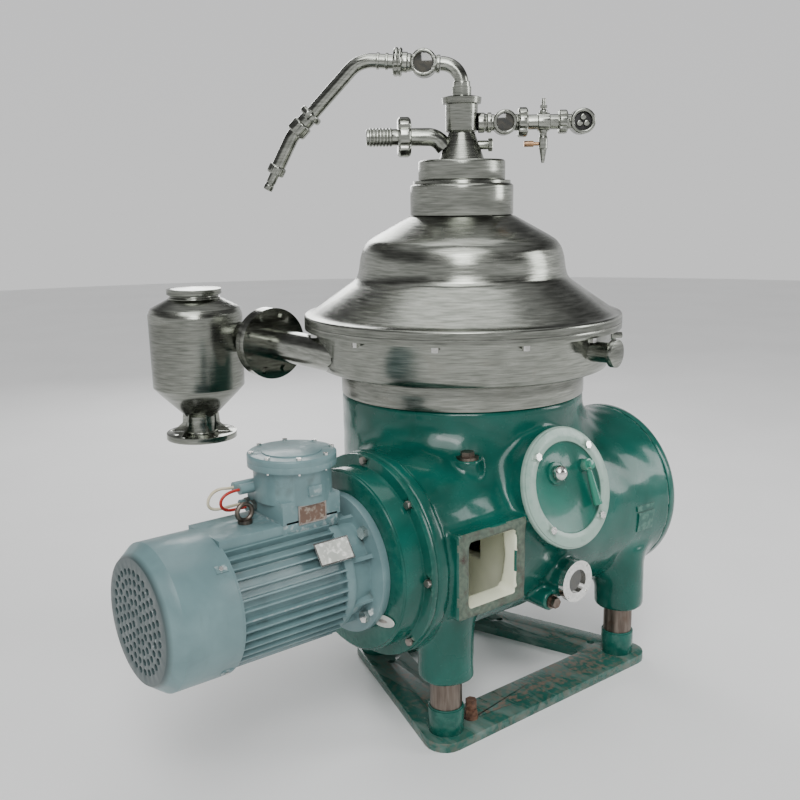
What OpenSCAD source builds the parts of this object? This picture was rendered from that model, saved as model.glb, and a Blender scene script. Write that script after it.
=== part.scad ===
// Cream separator: disc bowl machine with a worm gear drive, a flanged motor and a sludge cyclone.
// Millimetres, +Z up. The drive shaft runs along X, the service side faces -Y.

/* [Layout] */
// Bowl axis, along X, from the middle of the floor area
bowl_x = 305.5; // [305:0.5:306]
// Bowl axis, along Y, from the middle of the floor area
bowl_y = -190; // [-191:1:-189]
// Distance of the drive shaft in front of the bowl axis
shaft_offset = 165; // [165:1:168]
// Height of the drive shaft above the floor
shaft_z = 479; // [475:1:483]

/* [Base frame and feet] */
// Thickness of the base frame's flat bars
plate_t = 25; // [18:1:28]
// Width of the front and rear bars
bar_w = 130; // [120:5:140]
// Radius of the green foot cups
cup_r = 44.5; // [42:0.5:48]
// Height of the foot cups
cup_h = 70; // [60:1:75]
// Radius of the steel foot pillars
pillar_r = 41; // [36:1:41]
// Radius of the cast leg sockets
leg_r = 70; // [64:1:74]
// Height of the leg sockets' lower end
leg_z = 175; // [165:1:185]

/* [Housing] */
// Outer radius of the gear drum
drum_r = 250; // [245:1:252]
// Wall of the housing casting
wall = 22; // [16:1:24]
// Right end of the gear drum, without its cover
drum_x2 = 436; // [430:1:440]
// Left end of the housing, where the motor adapter is bolted on
flange_x = -458; // [-460:1:-452]
// Radius of the housing's left flange
flange_r = 260; // [258:1:264]
// Radius of the round column under the bowl casing
column_r = 342; // [338:1:346]
// Top of the cast column
column_z = 822; // [816:1:826]
// Bottom of the column behind the drum
column_z0 = 400; // [390:5:420]
// Width of the coupling window boss
window_w = 226; // [220:1:230]
// Height of the coupling window boss
window_h = 216; // [210:1:220]

/* [Motor] */
// Radius of the motor's mounting flange
motor_flange_r = 175; // [175:1:176]
// Radius over the motor's cooling fins
motor_r = 158; // [154:1:160]
// Rear end of the fan cover
motor_x0 = -1086; // [-1087:1:-1085]
// Radius of the round terminal box lid
lid_r = 104; // [98:1:108]

/* [Bowl casing] */
// Radius of the hood's bolting flange
hood_flange_r = 444; // [442:1:446]
// Radius of the steel collecting casing
casing_r = 415; // [410:1:418]
// Height of the casing's joint face
joint_z = 1021; // [1018:1:1024]
// Largest radius of the bowl
bowl_r = 300; // [290:5:305]

/* [Pipework] */
// Outer radius of the product pipes
pipe_r = 19; // [17:0.5:20]
// Direction of the left outlet, degrees from +X
left_deg = 144; // [143:1:146]
// Direction of the feed pipe, degrees from +X
feed_deg = 137; // [135:1:138]
// Radius of the sludge pipe
sludge_r = 46; // [44:1:48]
// Distance of the sludge pipe from the bowl axis
sludge_x = -365; // [-366:1:-364]
// Radius of the cyclone
cyclone_r = 142; // [140:1:143]

/* [Hidden] */
$fn = 64;
gap = 0.3;
run = 0.05;
seam = 0.15;
shaft_y = -shaft_offset;
right_deg = -39;
frame_mid = -15;
frame_y0 = -400;
frame_y1 = 215;
front_half = 432;
side_slope = 0.32;
foot_front_y = -330;
foot_rear_y = 137;
foot_front_x = 340;
foot_rear_x = 205;
hole_front_y = -250;
hole_rear_y = 47;
hole_front_x = 317;
hole_rear_x = 222;
hole_r = 11;
end_bolt_r = drum_r - 14;
adapter_r = 229;
adapter_x = -535;
window_x = -297;
window_y = -440;
window_z = 476;
cover_y = -424;
cover_x = -30;
cover_z = 624;
cover_r = 157;
cover_tilt = 17;
glass_x = -2;
glass_z = 368;
glass_y = -436;
filler_x = -245;
filler_y = -290;
filler_z = 712;
leg_top = 440;
front_leg_top = 339;
pillar_top = 273;
casing_z0 = 890;
flange_t = 18;
ring1_r = 142;
ring2_r = 119;
ring1_z = 1308;
ring2_z = 1400;
neck_z = 1456;
outlet_z = 1520;
right_z = 1552;
cyclone_x = -465;
cyclone_y = 720;
sludge_z = 940;
sludge_flange_y = 420;
glass_reach = 102;
feed_z = 1709;
wheel_r = 128;
worm_r = 36;
wheel_teeth = 64;
worm_starts = 14;
spindle_r = 22;
shaft_r = 30;
motor_shaft_r = 21;
foot_spots = [
    [frame_mid - foot_front_x, foot_front_y],
    [frame_mid + foot_front_x, foot_front_y],
    [frame_mid - foot_rear_x, foot_rear_y],
    [frame_mid + foot_rear_x, foot_rear_y]
];
lead_r = 3.5;
lead_sides = 8;
lead_start_x = -804;
lead_end_x = -786;
lead_a_route = [
    [lead_start_x, -125, 706], [-814, -125, 706], [-828, -124, 704], [-842, -123, 698],
    [-850, -122, 688], [-850, -121, 676], [-842, -120, 666], [-830, -120, 661],
    [-814, -120, 660], [-800, -120, 660], [lead_end_x, -120, 660]
];
lead_b_route = [
    [lead_start_x, -98, 706], [-816, -98, 706], [-834, -97, 708], [-852, -95, 704],
    [-864, -93, 692], [-868, -92, 678], [-862, -91, 666], [-848, -91, 660],
    [-828, -91, 659], [-806, -92, 660], [lead_end_x, -92, 660]
];

module at_bowl() translate([bowl_x, bowl_y, 0]) children();

// Turns a shape drawn along +Z so that it lies along +X on the drive shaft's line, from x.
module on_shaft(x) translate([x, shaft_y, shaft_z]) rotate([0, 90, 0]) children();

// Turns a shape drawn along +Z so that it points to -Y, from the given place.
module facing_front(x, y, z) translate([x, y, z]) rotate([90, 0, 0]) children();

// The tilted frame of the round inspection cover: local +Z is the cover's outward normal.
module on_cover() translate([cover_x, cover_y, cover_z]) rotate([90 - cover_tilt, 0, 0]) children();

module ring(r_out, r_in, h) {
    difference() {
        cylinder(r = r_out, h = h);
        translate([0, 0, -1]) cylinder(r = r_in, h = h + 2);
    }
}

module hex(across, h) cylinder(r = across / sqrt(3), h = h, $fn = 6);

module round_set(count, r, start = 0) {
    for (i = [0:count - 1]) rotate(start + i * 360 / count) translate([r, 0, 0]) children();
}

function cross3(a, b) = [a.y * b.z - a.z * b.y, a.z * b.x - a.x * b.z, a.x * b.y - a.y * b.x];
function unit(v) = v / norm(v);
function heading(route, i) = unit(route[min(i + 1, len(route) - 1)] - route[max(i - 1, 0)]);

// A tube swept along a route of points, closed at both ends.
module tube(route, r, sides, side_dir = [1, 0.35, 0.2]) {
    points = [
        for (i = [0:len(route) - 1])
            let (t = heading(route, i), a = unit(cross3(t, side_dir)), b = cross3(t, a))
                for (k = [0:sides - 1])
                    route[i] + r * (cos(k * 360 / sides) * a + sin(k * 360 / sides) * b)
    ];
    last = (len(route) - 1) * sides;
    faces = concat(
        [[for (k = [0:sides - 1]) k]],
        [
            for (i = [0:len(route) - 2])
                for (k = [0:sides - 1])
                    let (a = i * sides + k, d = i * sides + (k + 1) % sides)
                        each [[a, a + sides, d + sides], [a, d + sides, d]]
        ],
        [[for (k = [0:sides - 1]) last + sides - 1 - k]]
    );
    polyhedron(points = points, faces = faces, convexity = 4);
}

function half_width(y) = front_half - side_slope * (y - frame_y0);

// Points of an arc of radius r that rounds the corner at b between a and c.
function rounded(a, b, c, r, steps = 6) =
    let (
        u = unit(a - b), v = unit(c - b),
        half = acos(u * v) / 2,
        mid = b + unit(u + v) * r / sin(half),
        start = b + u * r / tan(half) - mid,
        stop = b + v * r / tan(half) - mid,
        turn = atan2(start.x * stop.y - start.y * stop.x, start * stop)
    )
    [
        for (i = [0:steps])
            let (q = turn * i / steps)
                mid + [start.x * cos(q) - start.y * sin(q), start.x * sin(q) + start.y * cos(q)]
    ];

function rounded_outline(p, r) = [
    for (i = [0:len(p) - 1])
        each rounded(p[(i + len(p) - 1) % len(p)], p[i], p[(i + 1) % len(p)], r)
];

function frame_outline(inset, side_inset) =
    let (y0 = frame_y0 + inset, y1 = frame_y1 - inset)
    [
        [frame_mid - half_width(y0) + side_inset, y0],
        [frame_mid + half_width(y0) - side_inset, y0],
        [frame_mid + half_width(y1) - side_inset, y1],
        [frame_mid - half_width(y1) + side_inset, y1]
    ];

module base_frame() {
    side_inset = bar_w * sqrt(1 + side_slope * side_slope);
    at_bowl() color("seagreen") difference() {
        linear_extrude(plate_t) difference() {
            polygon(rounded_outline(frame_outline(0, 0), 55));
            polygon(rounded_outline(frame_outline(bar_w, side_inset), 20));
        }
        for (s = [-1, 1]) {
            translate([frame_mid + s * hole_front_x, hole_front_y, -1]) cylinder(r = hole_r, h = plate_t + 2);
            translate([frame_mid + s * hole_rear_x, hole_rear_y, -1]) cylinder(r = hole_r, h = plate_t + 2);
        }
        translate([-272, -334, -1]) cylinder(r = hole_r, h = plate_t + 2);
    }
}

// One hexagon screw that stands in the front bar and levels the frame.
module levelling_screw() {
    at_bowl() color("saddlebrown") translate([-272, -334, 0.5]) {
        cylinder(r = hole_r - 1, h = 60);
        translate([0, 0, plate_t - 0.5]) cylinder(r = 19, h = 5);
        translate([0, 0, plate_t + 4.5]) hex(30, 19);
        translate([0, 0, 55]) hex(26, 22);
    }
}

module foot_cups() {
    at_bowl() color("seagreen") for (p = foot_spots) translate([p.x, p.y, plate_t]) difference() {
        cylinder(r = cup_r + 1.5, h = cup_h);
        translate([0, 0, 6]) cylinder(r = pillar_r + gap, h = cup_h);
        translate([0, 0, cup_h - 4]) rotate_extrude() translate([cup_r - 1, 0]) square([4, 6]);
    }
}

module rubber_dampers() {
    at_bowl() color("black") for (p = foot_spots) translate([p.x, p.y, plate_t + 6]) {
        cylinder(r = pillar_r - 1, h = 30);
    }
}

module foot_pillars() {
    at_bowl() color("rosybrown") for (p = foot_spots) translate([p.x, p.y, plate_t + 36]) {
        cylinder(r = pillar_r, h = pillar_top - plate_t - 36);
    }
}

module drum_body(more = 0) on_shaft(flange_x) cylinder(r = drum_r + more, h = drum_x2 - flange_x);

module column_body(more = 0) translate([0, 0, column_z0 - more]) {
    cylinder(r1 = column_r - 30 + more, r2 = column_r + more, h = 30);
    translate([0, 0, 30]) cylinder(r = column_r + more, h = column_z - column_z0 - 30 + more);
}

module cover_boss(more = 0) on_cover() translate([0, 0, -190 - more]) {
    cylinder(r = cover_r - 6 + more, h = 190 + 2 * more);
}

// The four sockets of the casting that stand on the foot pillars.
module leg_sockets() {
    at_bowl() color("seagreen") for (p = foot_spots) difference() {
        translate([p.x, p.y, leg_z]) {
            cylinder(r1 = leg_r - 12, r2 = leg_r, h = 12);
            translate([0, 0, 12]) cylinder(r = leg_r, h = (p.y < 0 ? front_leg_top : leg_top) - leg_z - 12);
        }
        drum_body(seam);
        column_body(seam);
        on_shaft(flange_x) cylinder(r = flange_r + seam, h = 34 + seam);
        translate([p.x, p.y, leg_z - 1]) cylinder(r = pillar_r, h = pillar_top - leg_z + 1);
    }
}

module housing_outside() {
    on_shaft(flange_x) cylinder(r = flange_r, h = 34);
    drum_body();
    translate([window_x - window_w / 2, window_y, window_z - window_h / 2]) cube([window_w, 200, window_h]);
    cover_boss();
    facing_front(glass_x, glass_y + 60, glass_z) cylinder(r = 52, h = 60);
    facing_front(-62, -340, 318) cylinder(r = 26, h = 76);
    translate([filler_x, filler_y, filler_z - 43]) cylinder(r = 34, h = 43);
}

module housing_inside() {
    on_shaft(flange_x - 1) cylinder(r = drum_r - wall, h = drum_x2 - flange_x + 2);
    translate([0, 0, column_z0 + wall]) cylinder(r = column_r - wall, h = column_z - column_z0 - wall - 62);
    translate([0, 0, column_z - 32]) cylinder(r = column_r - wall, h = 33);
    translate([0, 0, column_z - 63]) cylinder(r = 90, h = 40);
    translate([window_x - 79, window_y - 1, window_z - 84]) cube([158, 240, 168]);
    on_cover() translate([0, 0, -191]) cylinder(r = 112, h = 192);
    facing_front(glass_x, glass_y + 80, glass_z) cylinder(r = 34, h = 81);
    facing_front(-62, -360, 318) cylinder(r = 12, h = 60);
    translate([filler_x, filler_y, filler_z - 60]) cylinder(r = 20, h = 80);
    for (p = foot_spots) translate([p.x, p.y, leg_z - 1]) cylinder(r = pillar_r, h = pillar_top - leg_z + 1);
}

// The round upper part of the casting that carries the bowl casing, above the drum.
module bowl_column() {
    at_bowl() color("seagreen") difference() {
        column_body();
        drum_body(seam);
        cover_boss(seam);
        housing_inside();
    }
}

// A bearing wall across the inside of the drum.
module bearing_web(x) {
    on_shaft(x) difference() {
        cylinder(r = drum_r - wall + 5, h = 30);
        translate([0, 0, -1]) cylinder(r = 55, h = 32);
    }
}

module main_housing() {
    at_bowl() color("seagreen") difference() {
        union() {
            difference() {
                housing_outside();
                housing_inside();
            }
            bearing_web(-180);
            bearing_web(190);
            translate([0, 0, 290]) cylinder(r = 62, h = 75);
        }
        translate([0, 0, 326]) cylinder(r = 36, h = 40);
        for (i = [0:7]) {
            translate([0, shaft_y, shaft_z]) rotate([i * 45, 0, 0]) {
                translate([flange_x - 1, 0, 245]) rotate([0, 90, 0]) cylinder(r = 5, h = 25);
                translate([drum_x2 - 30, 0, end_bolt_r]) rotate([0, 90, 0]) cylinder(r = 5, h = 31);
            }
        }
        on_cover() for (i = [0:3]) rotate(45 + i * 90) translate([132, 0, -30]) cylinder(r = 5, h = 31);
    }
}

module gear_end_cover() {
    at_bowl() color("seagreen") on_shaft(drum_x2) difference() {
        rotate_extrude() polygon([
            [0, 0], [drum_r, 0], [drum_r, 22], [drum_r - 4, 29], [drum_r - 12, 34], [110, 34],
            [108, 39], [0, 39]
        ]);
        round_set(8, end_bolt_r) translate([0, 0, -1]) cylinder(r = 5.5, h = 40);
        round_set(8, end_bolt_r) translate([0, 0, 20]) cylinder(r = 10.5, h = 20);
    }
}

// The bolts of the drum's end cover and those of the motor adapter, in two rings of eight.
module housing_bolts() {
    at_bowl() color("silver") on_shaft(drum_x2) round_set(8, end_bolt_r) {
        translate([0, 0, -24]) cylinder(r = 5, h = 44);
        translate([0, 0, 20]) hex(16, 8);
    }
    at_bowl() color("silver") on_shaft(adapter_x) round_set(8, 245) {
        translate([0, 0, 59]) cylinder(r = 5, h = 38);
        translate([0, 0, 50]) hex(17, 9);
    }
}

module inspection_cover() {
    at_bowl() color("mediumseagreen") on_cover() difference() {
        union() {
            cylinder(r = cover_r, h = 12);
            translate([0, 0, 12]) ring(cover_r - 4, cover_r - 40, 5);
            translate([-38, 42, 12]) cylinder(r = 29, h = 9);
            translate([66, 44, 12]) cylinder(r = 17, h = 12);
        }
        translate([-38, 42, -1]) cylinder(r = 12, h = 30);
        translate([66, 44, -1]) cylinder(r = 9, h = 30);
        for (i = [0:3]) rotate(45 + i * 90) translate([132, 0, -1]) cylinder(r = 5.5, h = 20);
    }
}

// The bolts of the inspection cover and the nuts under the rim of the hood.
module cover_bolts() {
    at_bowl() color("gainsboro") round_set(12, hood_flange_r - 16, 9) {
        translate([0, 0, joint_z - flange_t - 14]) hex(17, 13.5);
    }
    at_bowl() color("gainsboro") on_cover() for (i = [0:3]) rotate(45 + i * 90) translate([132, 0, 0]) {
        translate([0, 0, -24]) cylinder(r = 5, h = 41);
        translate([0, 0, 17]) hex(18, 9);
    }
}

// Spring-loaded push button of the revolution counter, with its domed cap.
module rev_counter_button() {
    at_bowl() color("gainsboro") on_cover() translate([-38, 42, 0]) {
        translate([0, 0, -30]) cylinder(r = 12 - run, h = 58);
        translate([0, 0, 28]) cylinder(r = 20, h = 8);
        translate([0, 0, 36]) intersection() {
            translate([0, 0, -8]) sphere(r = 21.5);
            cylinder(r = 20, h = 20);
        }
    }
}

module brake_lever() {
    at_bowl() color("mediumseagreen") on_cover() translate([66, 44, 0]) {
        translate([0, 0, -30]) cylinder(r = 9 - run, h = 58);
        translate([0, 0, 24.5]) cylinder(r = 16, h = 14);
        translate([0, 0, 38.5]) cylinder(r = 11, h = 10);
        translate([2, -14, 31.5]) rotate([90, 0, 5]) cylinder(r1 = 7, r2 = 12, h = 92);
    }
}

module sight_glass_ring() {
    at_bowl() color("gainsboro") facing_front(glass_x, glass_y, glass_z) difference() {
        ring(56, 32, 16);
        translate([0, 0, -1]) cylinder(r = 38, h = 9);
        for (i = [0:3]) rotate(45 + i * 90) translate([50, 0, 12]) cylinder(r = 3, h = 5);
    }
}

module sight_glass_lens() {
    at_bowl() color("darkslategray") facing_front(glass_x, glass_y, glass_z) cylinder(r = 38 - gap, h = 8);
}

// The oil drain plug at the bottom of the drum and the oil filler plug on top of it.
module oil_plugs() {
    at_bowl() color("silver") {
        facing_front(-62, -396, 318) cylinder(r = 12 - gap, h = 20);
        facing_front(-62, -416, 318) cylinder(r = 19, h = 5);
        facing_front(-62, -421, 318) hex(26, 15);
        translate([filler_x, filler_y, filler_z - 20]) cylinder(r = 20 - gap, h = 20);
        translate([filler_x, filler_y, filler_z]) cylinder(r = 29, h = 7);
        translate([filler_x, filler_y, filler_z + 7]) hex(32, 12);
    }
}

// Two plates that hug the drum's front: a name plate without any marking and a pale strip above it.
module housing_plates() {
    at_bowl() color("mediumseagreen") {
        drum_plate(292, 68, 424, 480);
        drum_plate(286, 74, 486, 500);
    }
}

module drum_plate(x, length, z0, z1) {
    intersection() {
        on_shaft(x) ring(drum_r + 4, drum_r, length, $fn = 360);
        translate([x - 1, shaft_y - drum_r - 20, z0]) cube([length + 2, 100, z1 - z0]);
    }
}

// Ring that carries the motor: a bolted foot, a barrel and a front plate with the spigot bore.
module motor_adapter() {
    at_bowl() color("seagreen") on_shaft(adapter_x) difference() {
        union() {
            cylinder(r = adapter_r - 5, h = 5);
            translate([0, 0, 5]) cylinder(r = adapter_r, h = 54);
            translate([0, 0, 59]) cylinder(r = flange_r - 2, h = flange_x - adapter_x - 59);
        }
        translate([0, 0, -1]) cylinder(r = 125 + run, h = 30);
        translate([0, 0, 20]) cylinder(r = 200, h = 60);
        for (i = [0:7]) rotate(i * 45) translate([245, 0, 50]) cylinder(r = 5.5, h = 40);
        for (i = [0:3]) rotate(45 + i * 90) translate([150, 0, -1]) cylinder(r = 8, h = 30);
    }
}

module motor_flange_bolts() {
    at_bowl() color("gainsboro") on_shaft(adapter_x) round_set(4, 150, 45) {
        translate([0, 0, -22]) cylinder(r = 8, h = 40);
        translate([0, 0, -34]) hex(27, 12);
    }
}

module motor_end_shield() {
    at_bowl() color("lightsteelblue") on_shaft(adapter_x) difference() {
        union() {
            translate([0, 0, -22]) cylinder(r = motor_flange_r, h = 22);
            cylinder(r = 125, h = 6);
            translate([0, 0, -80]) cylinder(r1 = 138, r2 = 128, h = 58);
            translate([0, 0, -105]) cylinder(r = 150, h = 25);
            for (i = [0:7]) rotate(22.5 + i * 45) translate([124, -5, -90]) cube([22, 10, 75]);
        }
        translate([0, 0, -106]) cylinder(r = 118, h = 60);
        translate([0, 0, -50]) cylinder(r = 45, h = 60);
        for (i = [0:3]) rotate(45 + i * 90) translate([150, 0, -30]) cylinder(r = 9, h = 40);
    }
}

module fin_outline() {
    circle(r = 140);
    for (i = [0:35]) {
        a = 30 + i * 300 / 35;
        rotate(a + 180) translate([100, -2]) square([motor_r - 100, 4]);
    }
}

// Finned stator housing with the flat pad for the terminal box and a rear bearing shield.
module motor_frame() {
    at_bowl() color("lightsteelblue") on_shaft(-925) {
        difference() {
            union() {
                linear_extrude(285) fin_outline();
                translate([-motor_r - 2, -72, 5]) cube([60, 144, 280]);
                translate([0, 0, -9]) cylinder(r = 162 - gap, h = 20);
            }
            translate([0, 0, 12]) cylinder(r = 120, h = 285);
            translate([0, 0, -20]) cylinder(r = 35, h = 60);
            translate([-motor_r - 10, 0, 110]) rotate([0, 90, 0]) cylinder(r = 10 - run, h = 30);
        }
    }
}

// Fan cover with a chamfered rear rim and a grille of round holes.
module fan_cover() {
    at_bowl() color("lightsteelblue") on_shaft(motor_x0) difference() {
        union() {
            cylinder(r1 = 140, r2 = 166, h = 34);
            translate([0, 0, 34]) cylinder(r = 166, h = 130);
        }
        translate([0, 0, 6]) cylinder(r1 = 136, r2 = 162, h = 34);
        translate([0, 0, 39.9]) cylinder(r = 162, h = 130);
        for (n = [1:5]) for (i = [0:n * 6 - 1]) {
            rotate(i * 60 / n) translate([n * 22, 0, -1]) cylinder(r = 7.5, h = 12);
        }
    }
}

module cooling_fan() {
    at_bowl() color("lightgray") on_shaft(-1010) difference() {
        union() {
            cylinder(r = 40, h = 50);
            translate([0, 0, 44]) cylinder(r = 125, h = 4);
            for (i = [0:7]) rotate(i * 45) translate([30, -2, 4]) cube([92, 4, 42]);
        }
        translate([0, 0, -1]) cylinder(r = motor_shaft_r, h = 60);
    }
}

module stator_core() {
    at_bowl() color("peru") on_shaft(-860) ring(120 - gap, 76, 190);
}

module motor_rotor() {
    at_bowl() color("silver") {
        on_shaft(-1015) cylinder(r = motor_shaft_r, h = 580);
        on_shaft(-860) ring(75, motor_shaft_r, 190);
    }
}

// The lid is round and the lower box is square with a bevelled skirt on the motor's pad.
module terminal_box() {
    at_bowl() color("lightsteelblue") translate([-684, shaft_y, shaft_z + motor_r + 2]) difference() {
        union() {
            translate([-78, -78, 0]) cube([156, 156, 52]);
            translate([0, 0, 40]) cylinder(r = 91, h = 90);
            translate([0, 0, 118]) cylinder(r = lid_r, h = 14);
            translate([-60, 40, 67]) rotate([0, -90, 0]) cylinder(r = 12, h = 60);
            translate([-40, 67, 67]) rotate([0, -90, 0]) cylinder(r = 12, h = 80);
            translate([-76, 45, 21]) rotate([0, -90, 0]) cylinder(r = 10, h = 26);
            translate([-76, 73, 21]) rotate([0, -90, 0]) cylinder(r = 10, h = 26);
            translate([-17, -96, 60]) cube([34, 12, 24]);
        }
        translate([0, 0, 14]) cylinder(r = 72, h = 130);
        for (i = [0:7]) rotate(22.5 + i * 45) translate([94, 0, 110]) cylinder(r = 3, h = 30);
    }
}

module terminal_lid() {
    at_bowl() color("lightsteelblue") translate([-684, shaft_y, shaft_z + motor_r + 134]) difference() {
        union() {
            cylinder(r = lid_r, h = 12);
            translate([0, 0, 12]) cylinder(r1 = lid_r, r2 = lid_r - 4, h = 4);
            translate([0, 0, 16]) cylinder(r = 70, h = 3);
        }
        for (i = [0:7]) rotate(22.5 + i * 45) translate([94, 0, -1]) cylinder(r = 3.2, h = 30);
    }
}

module terminal_screws() {
    at_bowl() color("gainsboro") translate([-684, shaft_y, shaft_z + motor_r + 134]) {
        for (i = [0:7]) rotate(22.5 + i * 45) translate([94, 0, 0]) {
            translate([0, 0, -20]) cylinder(r = 3 - run, h = 36);
            translate([0, 0, 16]) cylinder(r = 6, h = 5);
        }
    }
}

module eyebolt() {
    at_bowl() color("gray") translate([-815, shaft_y, shaft_z + motor_r + 2]) {
        translate([0, 0, -20]) cylinder(r = 10 - 2 * run, h = 24);
        translate([0, 0, 0.5]) cylinder(r = 17, h = 7);
        translate([0, 0, 26]) rotate([90, 0, 0]) rotate_extrude() translate([19, 0]) circle(r = 5.5);
    }
}

module red_lead() {
    at_bowl() color("firebrick") tube(lead_a_route, lead_r, lead_sides);
}

module cream_lead() {
    at_bowl() color("wheat") tube(lead_b_route, lead_r, lead_sides);
}

// The clutch sits between the motor shaft and the drive shaft, inside the housing's left end.
module clutch_hub() {
    at_bowl() color("dimgray") on_shaft(-480) difference() {
        union() {
            cylinder(r = 48, h = 44);
            translate([0, 0, 44]) cylinder(r = 62, h = 46);
            translate([-20, -115, 52]) cube([40, 230, 34]);
        }
        translate([0, 0, -1]) cylinder(r = motor_shaft_r, h = 100);
    }
}

module clutch_shoe(side) {
    on_shaft(-430) intersection() {
        ring(150, 118, 40);
        translate([-160, side > 0 ? 20 : -180, -1]) cube([320, 160, 50]);
    }
}

module clutch_shoe_rear() {
    at_bowl() color("saddlebrown") clutch_shoe(1);
}

module clutch_shoe_front() {
    at_bowl() color("saddlebrown") clutch_shoe(-1);
}

module clutch_drum() {
    at_bowl() color("beige") on_shaft(-436) difference() {
        union() {
            cylinder(r = 172, h = 62);
            translate([0, 0, 40]) cylinder(r = 60, h = 90);
        }
        translate([0, 0, -1]) cylinder(r = 155, h = 51);
        translate([0, 0, -1]) cylinder(r = shaft_r, h = 140);
    }
}

module drive_shaft() {
    at_bowl() color("silver") on_shaft(-380) {
        cylinder(r = shaft_r, h = 640);
        translate([0, 0, 260]) cylinder(r = 38, h = 88);
    }
}

// Worm wheel with straight tooth gaps round a bronze rim.
module worm_wheel() {
    at_bowl() color("goldenrod") on_shaft(-31) difference() {
        cylinder(r = wheel_r, h = 62);
        translate([0, 0, -1]) cylinder(r = shaft_r, h = 70);
        for (i = [0:wheel_teeth - 1]) rotate(i * 360 / wheel_teeth) {
            translate([wheel_r - 7, -2.6, -1]) cube([20, 5.2, 70]);
        }
        for (i = [0:5]) rotate(i * 60) translate([75, 0, -1]) cylinder(r = 16, h = 70);
    }
}

module shaft_bearings() {
    at_bowl() color("gainsboro") {
        on_shaft(-178) ring(55, shaft_r + run, 26);
        on_shaft(192) ring(55, shaft_r + run, 26);
        on_shaft(-934) ring(35, motor_shaft_r + run, 24);
        on_shaft(adapter_x - 42) ring(45, motor_shaft_r + run, 30);
    }
}

// Vertical spindle with its cut worm. The worm just clears the wheel's teeth.
module spindle() {
    at_bowl() color("silver") {
        translate([0, 0, 330]) cylinder(r = spindle_r, h = 555);
        translate([0, 0, shaft_z - 48]) linear_extrude(96) difference() {
            circle(r = worm_r);
            for (i = [0:worm_starts - 1]) rotate(i * 360 / worm_starts) {
                translate([worm_r - 5, -1.8]) square([8, 3.6]);
            }
        }
    }
}

module spindle_bearings() {
    at_bowl() color("gainsboro") {
        translate([0, 0, 328]) ring(36, spindle_r + run, 32);
        translate([0, 0, column_z - 61]) ring(52, spindle_r + run, 30);
    }
}

// Six radial springs that hold the neck bearing in the middle of the deck.
module neck_springs() {
    at_bowl() color("steelblue") for (i = [0:5]) rotate(30 + i * 60) {
        translate([53, 0, column_z - 46]) rotate([0, 90, 0]) cylinder(r = 9, h = 36.5);
    }
}

// Bowl body with its ring of sludge ports.
module bowl_body() {
    at_bowl() color("silver") difference() {
        rotate_extrude() polygon([
            [spindle_r, 842], [70, 842], [120, 868], [bowl_r - 40, 868], [bowl_r, 890], [bowl_r, 1070],
            [bowl_r - 24, 1070], [bowl_r - 24, 930], [bowl_r - 40, 896], [60, 896], [60, 880],
            [spindle_r, 880]
        ]);
        round_set(10, bowl_r - 30) translate([0, 0, 1014]) rotate([0, 90, 0]) cylinder(r = 7, h = 40);
    }
}

// Sliding bowl bottom: it drops to open the sludge ports.
module sliding_bottom() {
    at_bowl() color("silver") rotate_extrude() polygon([
        [62, 912], [bowl_r - 44, 912], [bowl_r - 25, 938], [bowl_r - 25, 1021.7], [bowl_r - 36, 1021.7],
        [bowl_r - 58, 930], [62, 930]
    ]);
}

// Stack of conical discs on the distributor's neck.
module disc_stack() {
    at_bowl() color("lightgray") difference() {
        union() {
            for (i = [0:13]) translate([0, 0, 962 + i * 9]) {
                rotate_extrude() polygon([[70, 120], [228, 0], [228, 3], [70, 123]]);
            }
            translate([0, 0, 935]) cylinder(r = 74, h = 290);
        }
        translate([0, 0, 934]) cylinder(r = 60, h = 300);
    }
}

// Bowl top with the pump chamber in its neck.
module bowl_hood() {
    at_bowl() color("silver") rotate_extrude() polygon([
        [bowl_r - 26, 1022], [bowl_r - 26, 1072], [112, 1244], [112, 1370], [60, 1370], [60, 1362],
        [102, 1362], [102, 1238], [bowl_r - 44, 1062], [bowl_r - 44, 1022]
    ]);
}

module lock_ring() {
    at_bowl() color("silver") difference() {
        translate([0, 0, 1071]) ring(bowl_r, bowl_r - 24, 22);
        for (i = [0:7]) rotate(i * 45) translate([bowl_r - 8, 0, 1082]) cylinder(r = 6, h = 14);
    }
}

// Polished band between the green column and the bowl casing.
module steel_band() {
    at_bowl() color("gainsboro") translate([0, 0, column_z]) {
        ring(column_r + 2, column_r - 18, casing_z0 - column_z);
    }
}

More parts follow.
